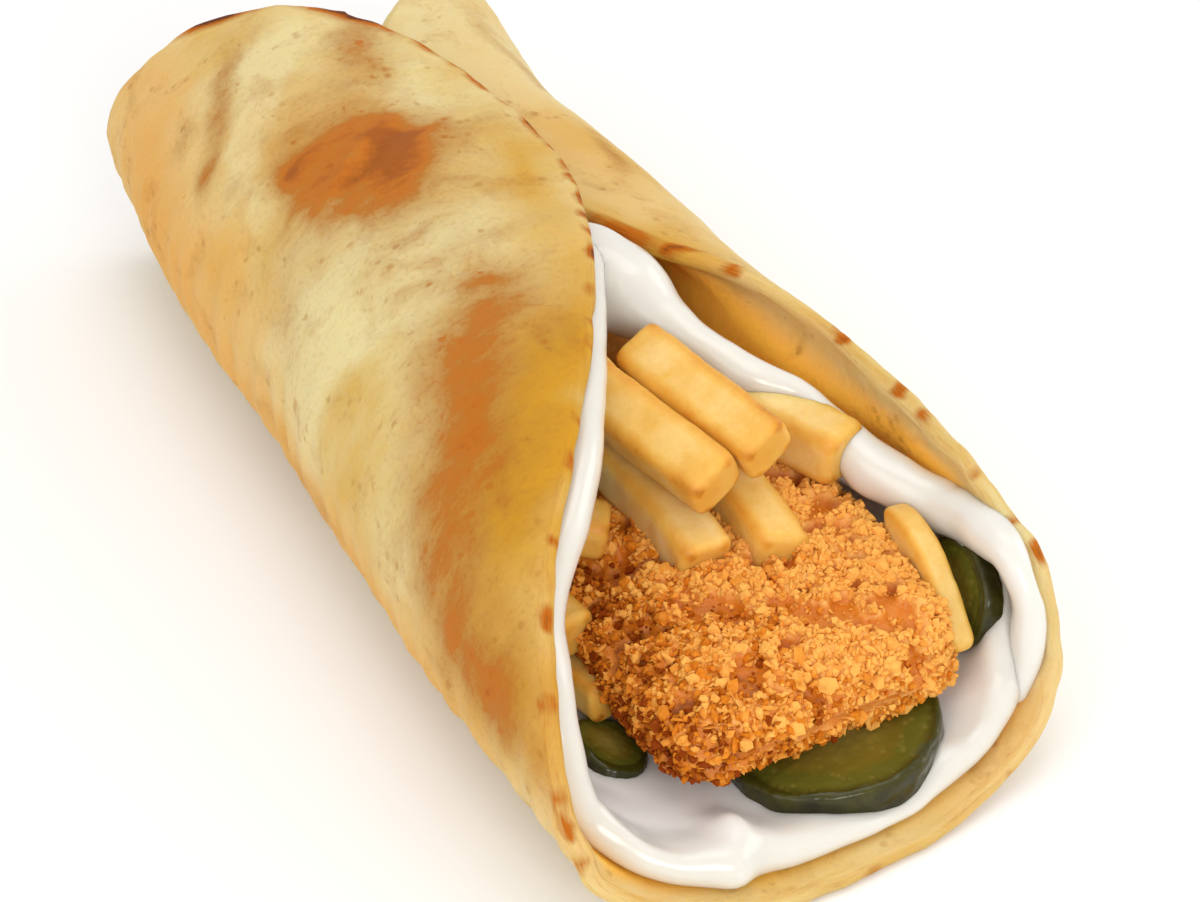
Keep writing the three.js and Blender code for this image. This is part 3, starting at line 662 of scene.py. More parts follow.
def make_flatbread(settings):
    """Flatbread: the sheet in polar form, laid on the roll and shifted outwards by its folds and grain."""
    angle, distance, depth, to_edge, side = bread_rows(settings)
    station, around = sheet_place(angle, distance)
    place = flat_points(station, around, side * BREAD_THICKNESS)
    outer = 1 - side
    rise = settings.relief / MM * bread_folds(station, around)
    rise = rise + bell(to_edge, EDGE_WAVES_WIDTH) * layered(place, "edge_waves")
    rise = rise + outer * layered(place, "bread_grain")
    shown = overlap_fade(station, around)
    rise = rise * underside_fade(station, around) * shown
    depth = depth + puffed(station, around, to_edge) * (side == 1)
    grid = in_roll(station, around, depth - rise + OVERLAP["sink"] * (1 - shown))
    grid[..., 2] = np.maximum(grid[..., 2], 0.0)

    swayed = station + layered(place, "toast_along"), around + layered(place, "toast_round")
    toast, pale, golden, blushed = (spots(places, *swayed) for places in (TOASTED, PALE, GOLDEN, BLUSHED))
    frayed = angle + layered(place, "fray")
    burnt = sum(
        amount * bell(frayed - at, spread) * bell(np.maximum(to_edge, 0), reach)
        for at, spread, reach, amount in BURNT_EDGE)
    rim = flat_points(angle * SPECKS["pitch"], to_edge * SPECKS["squeeze"])
    specks = SPECKS["strength"] * ease(SPECKS["start"], SPECKS["full"], layered(rim, "specks"))
    specks = specks * bell(to_edge - SPECKS["depth"], SPECKS["spread"])
    piece = write_skin("flatbread_crust", grid, {
        "toast": toast * outer, "pale": pale, "golden": golden, "blushed": blushed,
        "burnt": burnt * ease(0.9, 0.4, side) + specks * outer, "inside": side, "to_edge": to_edge,
        "sheet": flat_points(around, station, side * INNER_SHIFT) * MM})
    return settle_piece(piece, "flatbread", baked_flatbread(settings), "flatbread")


def baked_flatbread(settings):
    """Soft wheat flatbread baked on a hot plate: a dry, slightly leathery skin, pale where it puffed up and
    toasted where it touched the heat, with fine freckles and a faint oily shine. The right-hand side is
    painted paler as painted light, and the inner face a bright orange as a painted glow of light through the
    bread."""
    material = new_material("baked_flatbread")
    toasted, pale, golden, blushed, burnt, inside, to_edge = (attribute(material, label) for label in (
        "toast", "pale", "golden", "blushed", "burnt", "inside", "to_edge"))
    sheet = attribute(material, "sheet", "Vector")
    streaks = add_node(material, "ShaderNodeMapping", {"Vector": sheet, "Scale": (0.45, 1.0, 1.0)}).outputs[0]
    broad = noise(material, sheet, 26, detail=3.0)
    mottle = noise(material, streaks, 4.5, detail=7.0, roughness=0.66)
    blotch = noise(material, sheet, 10, detail=5.0, roughness=0.6, distortion=0.6)
    grain = noise(material, sheet, 1.1, detail=5.0, roughness=0.6)
    # The pale value carries painted light on the right-hand side as well as the crust's own paler places.
    light = times(material, mottle, 0.5, times(material, pale, 0.5, broad))
    base = ramp(material, light, (0.55, settings.warm), (1.0, settings.pale))
    for cover, tint in ((blushed, settings.blush), (golden, settings.golden)):
        base = blended(material, base, tint, times(material, cover, 0.85, clamped=True))
    # Painted glow: away from the rim the inner face takes a bright orange, its own colour and light shining
    # through it.
    band = remap(material, to_edge, 2.0, 7.5, interpolation="SMOOTHSTEP")
    base = blended(material, base, settings.inside, times(material, band, inside))

    uneven = remap(material, mottle, 0.3, 0.7, 0.65, 1.35)
    fleck = remap(material, grain, 0.5, 0.75, 0.0, 0.13)
    patchy = remap(material, blotch, 0.5, 0.72, 0.0, 0.2)
    dot = remap(material, cells(material, sheet, 3.2), 0.12, 0.3, 1.0, 0.0, "SMOOTHSTEP")
    picked = add_node(material, "ShaderNodeMath", {0: blotch, 1: 0.53}, operation="GREATER_THAN").outputs[0]
    freckle = times(material, dot, picked)
    toast = times(material, toasted, uneven, times(material, fleck, 1.0, patchy))
    toast = times(material, freckle, 0.16, toast)
    browned = ramp(
        material, toast, (0.38, settings.toast_light), (0.7, settings.toast_mid), (1.0, settings.toast_dark))
    colour = blended(material, base, browned, remap(material, toast, 0.04, 0.55, 0.0, 0.95))
    scorch = times(material, burnt, uneven)
    scorched = ramp(
        material, scorch, (0.15, settings.toast_light), (0.5, settings.toast_mid), (0.95, settings.scorch))
    colour = blended(material, colour, scorched, remap(material, scorch, 0.1, 0.45))
    return surface(
        material, colour, times(material, mottle, 1.6, grain), strength=0.6, depth=0.35,
        sink=0.5, sink_colours=(1.0, 0.55, 0.15), sink_depth=6.0,
        Roughness=0.6, IOR=1.45, Specular_IOR_Level=0.15)


# ----------------------------------------------------------------------------------------------- garlic sauce


def sauce_reach(angle):
    """Distance from the middle of the sheet to the sauce's edge: set back from the bread's edge, and no
    further than a line along the right-hand wall and another along the seam under the flap."""
    on_flap = ease(FLAP_SETBACK["start"], FLAP_SETBACK["full"], angle)
    on_flap = on_flap * (1 - ease(FLAP_SETBACK["fade"], FLAP_SETBACK["end"], angle))
    setback = SAUCE_SETBACK + (FLAP_SETBACK["setback"] - SAUCE_SETBACK) * on_flap
    lobes = sum(r * bell(angle - a, w) for r, a, w in SAUCE_LOBES)
    free = sheet_reach(angle) - setback + lobes
    station = free * np.cos(angle)
    seam = SEAM_EDGE["reach"] + SEAM_EDGE["slope"] * station
    seam = seam + SEAM_EDGE["free"] * ease(SEAM_EDGE["start"], SEAM_EDGE["end"], station)
    side = SIDE_EDGE["reach"] + SIDE_EDGE["free"] * ease(SIDE_EDGE["start"], SIDE_EDGE["end"], station)
    limit = np.where(angle >= 0, side, seam) / np.maximum(np.abs(np.sin(angle)), 0.2)
    return np.minimum(free, limit)


def make_sauce(settings):
    """Garlic sauce: a lining in the same polar form as the bread, thick and rounded at its edge, with dollops
    as Gaussian bumps and slow waves in its thickness; then the ridge. Both carry how much painted shade greys
    them."""
    rows = SAUCE_ROWS
    angle = spokes(rows["spokes"])
    ring = ring_points(angle)
    reach = sauce_reach(angle) + layered(ring, "sauce_outline")
    half = settings.bead / MM / 2 * (1 + layered(ring, "sauce_edge"))
    face = reach - half
    turn = np.linspace(0, np.pi, rows["round"])[1:-1]
    from_edge = np.concatenate([
        np.arange(0.0, rows["fine_to"], rows["fine"]), np.arange(rows["fine_to"], rows["to"], rows["step"])])
    deep = np.arange(SAUCE_DEEP["rows"] - 1, 0, -1) / SAUCE_DEEP["rows"]
    inner = np.concatenate([face - from_edge[:, None], deep[:, None] * (face - SAUCE_DEEP["from_edge"])])
    back = np.arange(1, rows["back"] + 1)[:, None] / rows["back"] * face
    distance = np.concatenate([back, face + half * np.sin(turn)[:, None], inner])
    station, around = sheet_place(np.broadcast_to(angle, distance.shape), distance)
    place = flat_points(station, around)
    lining = settings.lining / MM
    thick = lining + (2 * half - lining) * ease(-(settings.bead_width / MM), 0.0, distance - face)
    thick = thick + layered(place, "sauce_waves") * ease(0, 5, reach - distance)
    thick = thick + layered(place, "sauce_grain")
    for at, round_at, length, width, height in SAUCE_DOLLOPS:
        thick = thick + height * bell(station - at, length) * bell(around - round_at, width)
    rise = np.concatenate([np.zeros(len(back)), (1 - np.cos(turn)) / 2, np.ones(len(inner))])[:, None]
    puff = puffed(station, around, sheet_reach(angle) - distance)
    spread = in_roll(station, around, BREAD_THICKNESS + puff - SAUCE_SUNK + rise * thick)
    ridge = ridge_grid()
    material = whipped_garlic_sauce(settings)
    # The lining is painted greyer towards its rim and the whole ridge a fixed share greyer: painted shade.
    for name, grid, rim in (
        ("garlic_sauce_spread", spread, bell(distance - reach, RIM_SPREAD)),
        ("garlic_sauce_ridge", ridge, np.full(ridge.shape[:2], RIDGE_OIL)),
    ):
        settle_piece(write_skin(name, grid, {"rim": rim}), "garlic_sauce", material, "garlic_sauce")


def ridge_grid():
    """Ridge of sauce: circles along a smooth curve through its places, uneven by noise, with round ends."""
    knots = np.array(SAUCE_RIDGE)
    t = np.linspace(0, len(knots) - 1, 300)
    line = np.stack([through(column, t) for column in knots.T], -1)
    length = np.concatenate([[0], np.linalg.norm(np.diff(line[:, :3], axis=0), axis=1).cumsum()])
    to_end = np.minimum(length, length[-1] - length)
    radius = line[:, 3] * np.sqrt(1 - (1 - np.clip(to_end / line[:, 3], 0.004, 1)) ** 2)
    side, up = cross_axes(unit(np.gradient(line[:, :3], axis=0)))
    turn = spokes(72)
    outwards = side[:, None] * np.cos(turn)[None, :, None] + up[:, None] * np.sin(turn)[None, :, None]
    grid = line[:, None, :3] + outwards * radius[:, None, None]
    uneven = layered(grid, "sauce_ridge") * (radius / line[:, 3])[:, None]
    return grid + outwards * uneven[..., None]


def whipped_garlic_sauce(settings):
    """Garlic whipped with oil to a thick cream: opaque white that light sinks into, smooth and glossy,
    painted greyer at its rim and over the ridge as a painted shade, with the faintest unevenness from the
    spoon."""
    material = new_material("whipped_garlic_sauce")
    place = add_node(material, "ShaderNodeTexCoord").outputs["Object"]
    # Painted shade: greyer at the lining's rim and over the ridge.
    colour = blended(material, settings.colour, settings.oily, attribute(material, "rim"))
    return surface(
        material, colour, noise(material, place, 6), strength=0.25, depth=0.5,
        sink=0.8, sink_colours=(1.0, 1.0, 1.0), sink_depth=3.0,
        Roughness=0.24, IOR=1.46, Coat_Weight=0.5, Coat_Roughness=0.08)


# ----------------------------------------------------------------------------------------------------- cutlet


def quadratic(values, t):
    """Curve through three values at 0, a half and 1."""
    a, b, c = values
    return (1 - t) * (1 - 2 * t) * a + 4 * t * (1 - t) * b + t * (2 * t - 1) * c


def slab(form, y, turn):
    """Points of a slab along the roll: at each y a superellipse whose middle, width, base and top follow a
    curve, which tilts to one side and closes over a rounded end. Two slow waves make it uneven."""
    length = form["end"] - form["start"]
    t = (y - form["start"]) / length
    inset = np.clip(np.minimum(y - form["start"], form["end"] - y) / form["rounding"], 0.004, 1)
    close = np.sqrt(1 - (1 - inset) ** 2)
    low, high = quadratic(form["base"], t), quadratic(form["top"], t)
    width = quadratic(form["half_width"], t) * (SLAB_END_WIDTH + (1 - SLAB_END_WIDTH) * close)
    waist = low + SLAB_WAIST * (high - low)
    u, v = np.cos(turn), np.sin(turn)
    reach = superellipse(u, v, form["power"])
    lump = 1 + 0.02 * np.sin(3 * turn + y / 9) + 0.018 * np.sin(y / 5.3 + 2 * turn)
    across = width * lump * u * reach
    span = np.where(v > 0, high - waist + form["tilt"] * across, waist - low) * close
    x = quadratic(form["centre_x"], t) + across
    return np.stack([x, y + form["skew"] * across, waist + span * v * reach], -1)


def slab_ys(form, near_step, near_length, far_length):
    """Even steps over each rounded end's arc and near length, and a few long steps in the hidden middle."""
    over = np.linspace(0.08, np.pi / 2, int(form["rounding"] * 1.5 / near_step))
    arc = form["rounding"] * (1 - np.cos(over))[:-1]
    near = form["start"] + np.arange(form["rounding"], near_length, near_step)
    far = form["end"] - np.arange(form["rounding"], far_length, near_step)[::-1]
    middle = np.linspace(near[-1], far[0], 18)[1:-1]
    return np.concatenate([form["start"] + arc, near, middle, far, form["end"] - arc[::-1]])


def slab_grid(form, spokes, way=1, **steps):
    """Grid of a slab's points, row by row along the roll and round it one way or the other."""
    turn = way * np.arange(spokes)[None] * 2 * np.pi / spokes
    return slab(form, slab_ys(form, **steps)[:, None], turn)


def grid_normals(grid):
    """Unit normals of a closed grid, from the differences between its neighbours."""
    round_way = np.roll(grid, -1, 1) - np.roll(grid, 1, 1)
    return unit(np.cross(np.gradient(grid, axis=0), round_way))


def cutlet_grid():
    """The cutlet's body under its coating, and its outward normals."""
    grid = slab_grid(CUTLET, way=-1, **CUTLET_STEPS)
    return grid, -grid_normals(grid)


def cell_bumps(points, size, seed):
    """Rounded bumps between 0 and 1: each point's distance to the nearest of the places scattered one to a
    cell, turned upside down."""
    jitter = np.random.default_rng(seed).uniform(0.1, 0.9, (16, 16, 16, 3))
    scaled = points / size + 200.0
    cell = np.floor(scaled).astype(int)
    nearest = np.full(scaled.shape[:-1], 9.0)
    for step in np.ndindex(3, 3, 3):
        other = cell + step - 1
        i, j, k = np.moveaxis(other % 16, -1, 0)
        nearest = np.minimum(nearest, np.linalg.norm(other + jitter[i, j, k] - scaled, axis=-1))
    return np.clip(1 - nearest**2 / 0.9, 0, 1)


def crumb_height(points):
    """How far the coating rises over the slab, and how high each place stands over the hollows beside it.

    Soft noise gathers the crumbs into clumps, and rounded bumps of three sizes stand on them."""
    cover = ease(COATING["bare"], COATING["clumped"], layered(points, "clumps"))
    bumps = sum(height * cell_bumps(points, size, seed) for height, size, seed in CRUMB_BUMPS)
    bumps = bumps * (0.3 + 0.7 * cover)
    rise = COATING["clumps"] * cover + COATING["bumps"] * bumps - COATING["sunk"]
    return rise + layered(points, "coating"), bumps


def fried_paler(points):
    """How much paler than its middle value the cutlet is painted, as painted light: palest to the upper
    right, and less than 0, a painted shade, low down at the left."""
    across, up = (points[..., 0] - PALER["x"]) / PALER["across"], (points[..., 2] - PALER["z"]) / PALER["up"]
    return np.clip(across + up, 0, 1) - PALER["middle"]


def make_cutlet(settings):
    """Breaded cutlet: the slab, lifted along its normals by its coating."""
    grid, normal = cutlet_grid()
    height, bumps = crumb_height(grid)
    grid, bumps = np.flip(grid + normal * height[..., None], 1), np.flip(bumps, 1)
    # Painted shade and light: hollows between the bumps painted darker, bump tops paler, and the upper right
    # paler still.
    piece = write_skin("breaded_cutlet_body", grid, {"shade": bumps + 0.8 * fried_paler(grid)})
    return settle_piece(piece, "crumb_coating", fried_batter(settings), "breaded_cutlet")


def fried_batter(settings):
    """Egg-and-flour batter fried under the crumbs: orange brown, a little glassy with oil, painted darker in
    the hollows and low at the left as painted shade, and paler on the bump tops and to the upper right as
    painted light."""
    material = new_material("fried_batter")
    place = add_node(material, "ShaderNodeTexCoord").outputs["Object"]
    fine = noise(material, place, 1.4, detail=5.0, roughness=0.62)
    # Painted shade in the hollows and low at the left, painted light on the bump tops and to the upper right.
    shade = remap(material, times(material, fine, 0.5, attribute(material, "shade")), 0.15, 1.1)
    colour = ramp(
        material, shade, (0.0, settings.batter_dark), (0.35, settings.batter), (0.7, settings.crumb_mid),
        (1.0, settings.crumb_light))
    return surface(
        material, colour, fine, strength=0.6, depth=0.6,
        sink=0.15, sink_colours=(1.0, 0.6, 0.15), sink_depth=1.0, Roughness=0.42, IOR=1.46)


def ball():
    """Points and triangles of a 20-sided ball of diameter 1."""
    shape = bmesh.new()
    bmesh.ops.create_icosphere(shape, subdivisions=1, radius=0.5)
    points = np.array([v.co[:] for v in shape.verts])
    faces = np.array([[v.index for v in f.verts] for f in shape.faces])
    shape.free()
    return points, faces


def turns(count, rng):
    """Random rotation matrices, from random unit quaternions."""
    q = rng.normal(size=(count, 4))
    w, x, y, z = (q / np.linalg.norm(q, axis=1, keepdims=True)).T
    return np.stack([
        1 - 2 * (y * y + z * z), 2 * (x * y - w * z), 2 * (x * z + w * y),
        2 * (x * y + w * z), 1 - 2 * (x * x + z * z), 2 * (y * z - w * x),
        2 * (x * z - w * y), 2 * (y * z + w * x), 1 - 2 * (x * x + y * y)], -1).reshape(-1, 3, 3)


def grains(name, places, sizes, stretch, rough, standing, rng):
    """One mesh of many crumbs: a ball of 20 faces for each, with every point pushed in or out at random,
    stretched, turned at random and put in its place. Crumbs that stand high are painted paler than the ones
    in the hollows, a painted shade, and the ones to the upper right paler still, as painted light."""
    shape, faces = ball()
    count = len(places)
    points = shape[None] * (1 + rough * rng.uniform(-1, 1, (count, len(shape), 1)))
    points = points * (sizes[:, None] * stretch)[:, None, :]
    points = np.einsum("nij,nvj->nvi", turns(count, rng), points) + places[:, None]
    # Each crumb's own random tone, plus painted shade in the hollows and painted light on high crumbs and to
    # the upper right.
    tone = 0.9 * rng.uniform(-0.22, 0.78, count) + 0.6 * standing + 1.5 * fried_paler(places)
    faces = faces[None] + (np.arange(count) * len(shape))[:, None, None]
    tone = np.repeat(tone, len(shape))
    return write_piece(name, points, [faces.reshape(-1, 3)], {"tone": tone}, smooth=False)


def scattered(grid, normal, count, rng):
    """Random places on a grid, spread evenly over its area, with the normals there."""
    corner = grid[:-1], np.roll(grid, -1, 1)[:-1], grid[1:], np.roll(grid, -1, 1)[1:]
    area = np.linalg.norm(np.cross(corner[1] - corner[0], corner[2] - corner[0]), axis=-1)
    picked = rng.choice(area.size, count, p=(area / area.sum()).ravel())
    u, v = rng.uniform(size=(2, count, 1))
    flat = [c.reshape(-1, 3)[picked] for c in corner]
    places = (1 - u) * ((1 - v) * flat[0] + v * flat[2]) + u * ((1 - v) * flat[1] + v * flat[3])
    return places, normal[:-1].reshape(-1, 3)[picked]


def in_sight(places):
    """Places on the cutlet that can be seen: its front part and its far end."""
    near, far = IN_SIGHT
    return (places[:, 1] < CUTLET["start"] + near) | (places[:, 1] > CUTLET["end"] - far)


def make_crumbs(settings):
    """Crumbs on the cutlet, heaped in clumps: fine grit, small nubs and larger flakes, one piece each."""
    rng = np.random.default_rng(7)
    grid, normal = cutlet_grid()
    material = fried_crumbs(settings)
    kinds = (("crumb_grit", settings.grit, 0.5, 1.5), ("crumb_nubs", settings.nub, 0.45, 1.6),
             ("crumb_flakes", settings.flake, 0.3, 1.7))
    for name, diameter, thinnest, longest in kinds:
        places, outwards = scattered(grid, normal, CRUMB_TRIES, rng)
        height, bumps = crumb_height(places)
        keep = in_sight(places) & (rng.uniform(size=len(places)) < 2.5 * bumps**2)
        few = np.flatnonzero(keep)[:settings.crumbs if name != "crumb_flakes" else settings.flakes]
        places = places[few] + outwards[few] * (height[few] + rng.uniform(-0.2, 0.4, len(few)))[:, None]
        sizes = diameter / MM * rng.uniform(0.6, 1.3, len(places))
        stretch = rng.uniform(thinnest, longest, (len(places), 3))
        crumbs = grains(name, places, sizes, stretch, 0.34, bumps[few], rng)
        settle_piece(crumbs, "crumb_coating", material)


def fried_crumbs(settings):
    """Coarse dry breadcrumbs fried golden: matt, porous, each a little lighter or darker than the next."""
    material = new_material("fried_breadcrumbs")
    place = add_node(material, "ShaderNodeTexCoord").outputs["Object"]
    broad = noise(material, place, 9)
    fine = noise(material, place, 0.7, detail=4.0, roughness=0.6)
    # The tone carries each crumb's own random tone, plus painted shade and painted light.
    mixed = times(material, fine, 0.5, times(material, broad, 0.7, attribute(material, "tone")))
    colour = ramp(
        material, remap(material, mixed, 0.6, 1.5), (0.0, settings.crumb_dark), (0.4, settings.crumb_mid),
        (1.0, settings.crumb_light))
    return surface(
        material, colour, fine, strength=0.5, depth=0.25,
        sink=0.15, sink_colours=(1.0, 0.55, 0.25), sink_depth=0.8,
        Roughness=0.7, IOR=1.45, Specular_IOR_Level=0.1)


# ------------------------------------------------------------------------------------------------------ fries


def fry_grid(path, width, thickness, seed, slant=0.0, roll=0.0, rows=54, count=44):
    """Cut potato stick: a rounded square carried along a curve through three points, with a flat cut end each
    side, rounded over, and a surface that bulges and dips. Gives the grid and how close each point is to a
    long edge and to an end."""
    over, power, end_fade, seed_pitch = 1.3, 5.0, 2.2, 37.0
    path = np.asarray(path, float)
    length = np.linalg.norm(np.diff(path, axis=0), axis=1).sum()
    turn = np.linspace(0, np.pi / 2, 5)
    cap, rounded = over * (1 - np.cos(turn))[:-1], over * np.sin(turn)[:-1]
    place = np.concatenate([
        np.zeros(3), cap, np.linspace(over, length - over, rows), length - cap[::-1], np.full(3, length)])
    inset = np.concatenate([np.zeros(3), rounded, np.full(rows, over), rounded[::-1], np.zeros(3)]) - over
    end_face = [0.3, 0.6, 0.85]
    shrink = np.concatenate([end_face, np.ones(len(place) - 6), end_face[::-1]])
    t = place / length
    centre = np.stack([quadratic(axis, t) for axis in path.T], -1)
    forward = np.gradient(centre, axis=0)
    forward[:3], forward[-3:] = forward[4], forward[-5]
    forward = unit(forward)
    side, up = cross_axes(forward)
    side, up = (axis * math.cos(roll) + np.cross(forward, axis) * math.sin(roll) for axis in (side, up))
    turn = np.arange(count) * 2 * np.pi / count
    u, v = np.cos(turn), np.sin(turn)
    reach = superellipse(u, v, power)
    across = ((width / 2 + inset) * shrink)[:, None] * u * reach
    rise = ((thickness / 2 + inset) * shrink)[:, None] * v * reach
    cut = np.where(t > 0.5, slant, 0.0)[:, None] * (rise + across)
    side, up, forward = side[:, None], up[:, None], forward[:, None]
    grid = centre[:, None] + side * across[..., None] + up * rise[..., None] + forward * cut[..., None]
    outwards = unit(side * (u * reach)[None, :, None] + up * (v * reach)[None, :, None])
    grid = grid + outwards * (layered(grid + seed * seed_pitch, "fry") * shrink[:, None])[..., None]
    edge = np.minimum(np.abs(u), np.abs(v)) / np.maximum(np.abs(u), np.abs(v)) * shrink[:, None] ** 3
    end = np.exp(-np.minimum(place, length - place) / end_fade)[:, None]
    return grid, edge, np.broadcast_to(end, edge.shape)


def make_fries(settings):
    """The fries that show in the mouth, one piece each."""
    material = fried_potato(settings)
    for number, (path, width, thickness, brown, roll, slant) in enumerate(FRIES, 1):
        grid, edge, end = fry_grid(path, width, thickness, number, slant, roll)
        # The brown value is partly each fry's own colour and partly painted light and shade, set by where
        # each fry lies.
        tone = np.full(edge.shape, brown)
        piece = write_skin(f"potato_fry_{number}", grid, {"edge": edge, "end": end, "tone": tone})
        settle_piece(piece, "potato_fry", material, f"fry_{number}")


def fried_potato(settings):
    """Potato fried in oil: a thin, slightly blistered skin over soft pale flesh, golden at the edges and the
    cut ends, with a soft oily shine."""
    material = new_material("fried_potato")
    place = add_node(material, "ShaderNodeTexCoord").outputs["Object"]
    broad = noise(material, place, 7, detail=3.0, roughness=0.55)
    fine = noise(material, place, 0.9, detail=5.0, roughness=0.6)
    mixed = remap(material, attribute(material, "edge"), 0.45, 1.0, 0.0, 0.5)
    for value, weight in (
        (attribute(material, "end"), 0.3), (broad, 0.9), (attribute(material, "tone"), 0.3), (fine, 0.25),
    ):
        mixed = times(material, value, weight, mixed)
    colour = ramp(
        material, remap(material, mixed, 0.45, 1.5), (0.0, settings.flesh), (0.38, settings.flesh_warm),
        (0.7, settings.golden), (1.0, settings.browned))
    return surface(
        material, colour, times(material, broad, 0.8, fine), strength=0.3, depth=0.3,
        sink=0.6, sink_colours=(1.0, 0.6, 0.2), sink_depth=3.0,
        Roughness=0.38, IOR=1.46, Specular_IOR_Level=0.3)


def make_heap(settings):
    """Fries further inside: sticks laid along the roll over a smaller core."""
    core_form = dict(HEAP, start=HEAP["start"] + CORE["near_end"], end=HEAP["end"] - CORE["far_end"])
    grid = slab_grid(core_form, **HEAP_STEPS)
    middle = grid.mean(1, keepdims=True)
    grid = middle + (grid - middle) * CORE["share"]
    grid = grid + grid_normals(grid) * layered(grid, "fries_core")[..., None]
    looks = {"edge": 0.9, "end": 0.0, "tone": 1.0}
    looks = {label: np.full(grid.shape[:2], value) for label, value in looks.items()}
    core = write_skin("fries_core", grid, looks)
    material = fried_potato(settings)
    settle_piece(core, "potato_fry", material, "fries_heap")

    rng = np.random.default_rng(9)
    parts = []
    for end, t_end, way in ((HEAP["start"], 0.0, 1), (HEAP["end"], 1.0, -1)):
        middle_x = quadratic(HEAP["centre_x"], t_end)
        for x, z in HEAP_PLACES:
            near = end + way * rng.uniform(-2.5, 3.0)
            far = near + way * rng.uniform(34, 40)
            lean_x, lean_z = rng.uniform(-2.0, 2.0), rng.uniform(-1.2, 1.2)
            path = (
                (middle_x + x, near, z),
                (middle_x + x * 0.96 + lean_x / 2, (near + far) / 2, z + lean_z / 2),
                (middle_x + x * 0.92 + lean_x, far, z + lean_z))
            width, thickness = rng.uniform(7.6, 9.0, 2)
            seed, roll = rng.uniform(20, 60), rng.uniform(-0.4, 0.4)
            parts.append(fry_grid(path, width, thickness, seed, roll=roll, rows=26, count=28))
    points, edge, end = (np.concatenate([with_poles(part[k]) for part in parts]) for k in range(3))
    faces = skin_faces(*parts[0][0].shape[:2])
    count = len(points) // len(parts)
    shift = (np.arange(len(parts)) * count)[:, None, None]
    joined = [(f[None] + shift).reshape(-1, f.shape[1]) for f in faces]
    tone = np.repeat(rng.uniform(0, 1, len(parts)), count)
    piece = write_piece("fries_inside", points, joined, {"edge": edge, "end": end, "tone": tone})
    settle_piece(piece, "potato_fry", material)


# ---------------------------------------------------------------------------------------------------- pickles


def pickle_grid(centre, radii, thickness, lean, seed):
    """Slice of pickled cucumber: rings from the middle of the lower face out to its skin, round the soft
    corner and back over the upper face. Gives the grid, how far out each point is, and how far it is on the
    skin."""
    half, round_off, seed_pitch, spokes_round, rings = thickness / 2, 1.1, 29.0, 128, 22
    turn = np.arange(spokes_round) * 2 * np.pi / spokes_round
    out = np.linspace(0.04, 1.0, rings)
    corner = np.linspace(0, np.pi / 2, 6)[1:]
    wall = np.linspace(-1, 1, 9)[1:-1] * (half - round_off)
    bent, flat = round_off * (1 - np.cos(corner)), round_off * (1 - np.sin(corner))
    inset = np.concatenate([np.full(rings, round_off), flat, np.zeros(7), bent, np.full(rings, round_off)])
    level = np.concatenate([np.full(rings, -half), bent - half, wall, half - flat, np.full(rings, half)])
    share = np.concatenate([out, np.ones(17), out[::-1]])[:, None]
    skin = np.concatenate([np.zeros(rings), np.sin(corner), np.ones(7), np.cos(corner), np.zeros(rings)])
    wobble = 1 + 0.012 * np.cos(5 * turn) + 0.01 * np.sin(3 * turn)
    x = np.cos(turn) * (radii[0] * wobble - inset[:, None]) * share
    y = np.sin(turn) * (radii[1] * wobble - inset[:, None]) * share
    z, share, skin = (np.broadcast_to(v, x.shape) for v in (level[:, None], share, skin[:, None]))
    local = np.stack([x, y, z], -1)
    moved = local + seed * seed_pitch
    ripple = 0.05 * np.sin(22 * turn + layered(moved, "pickle_ripple")) + layered(moved, "pickle_skin")
    outwards = np.stack([np.cos(turn), np.sin(turn), np.zeros(spokes_round)], -1)
    local = local + outwards * (ripple * skin)[..., None]
    local[..., 2] += layered(moved, "pickle_sag") * (1 - skin) * np.sign(z) * share
    x, z = turned(local[..., 0], local[..., 2], lean)
    return np.stack([x, local[..., 1], z], -1) + np.array(centre), share, skin


def make_pickles(settings):
    """The pickle slices, one piece each."""
    material = pickled_cucumber(settings)
    for number, form in enumerate(PICKLES, 1):
        grid, out, skin = pickle_grid(*form, seed=number)
        piece = write_skin(f"pickle_{number}", grid, {"out": out, "skin": skin})
        settle_piece(piece, "pickled_cucumber", material, f"pickle_slice_{number}")


def pickled_cucumber(settings):
    """Cucumber pickled in brine: wet, with dark olive skin and a lighter flesh that lets light in, seeds
    showing through as paler flecks."""
    material = new_material("pickled_cucumber")
    place = add_node(material, "ShaderNodeTexCoord").outputs["Object"]
    out, skin = attribute(material, "out"), attribute(material, "skin")
    broad = noise(material, place, 5, detail=4.0)
    seeds = cells(material, place, 1.6)
    flesh = ramp(
        material, times(material, broad, 0.5, out), (0.35, settings.heart), (0.85, settings.flesh),
        (1.0, settings.under_skin))
    flesh = blended(material, flesh, settings.heart, remap(material, seeds, 0.1, 0.35, 0.35, 0.0))
    dark = ramp(material, broad, (0.3, settings.skin), (0.75, settings.skin_light))
    rind = remap(material, out, 0.9, 0.99, 0.0, 0.8)
    rind = add_node(material, "ShaderNodeMath", {0: rind, 1: skin}, operation="MAXIMUM").outputs[0]
    return surface(
        material, blended(material, flesh, dark, rind), seeds, strength=0.35, depth=0.4,
        sink=0.4, sink_colours=(0.8, 1.0, 0.3), sink_depth=1.6, Roughness=0.16, IOR=1.4,
        Coat_Weight=0.15, Coat_Roughness=0.06, Specular_IOR_Level=0.35)


# ------------------------------------------------------------------------------------------------------ stage


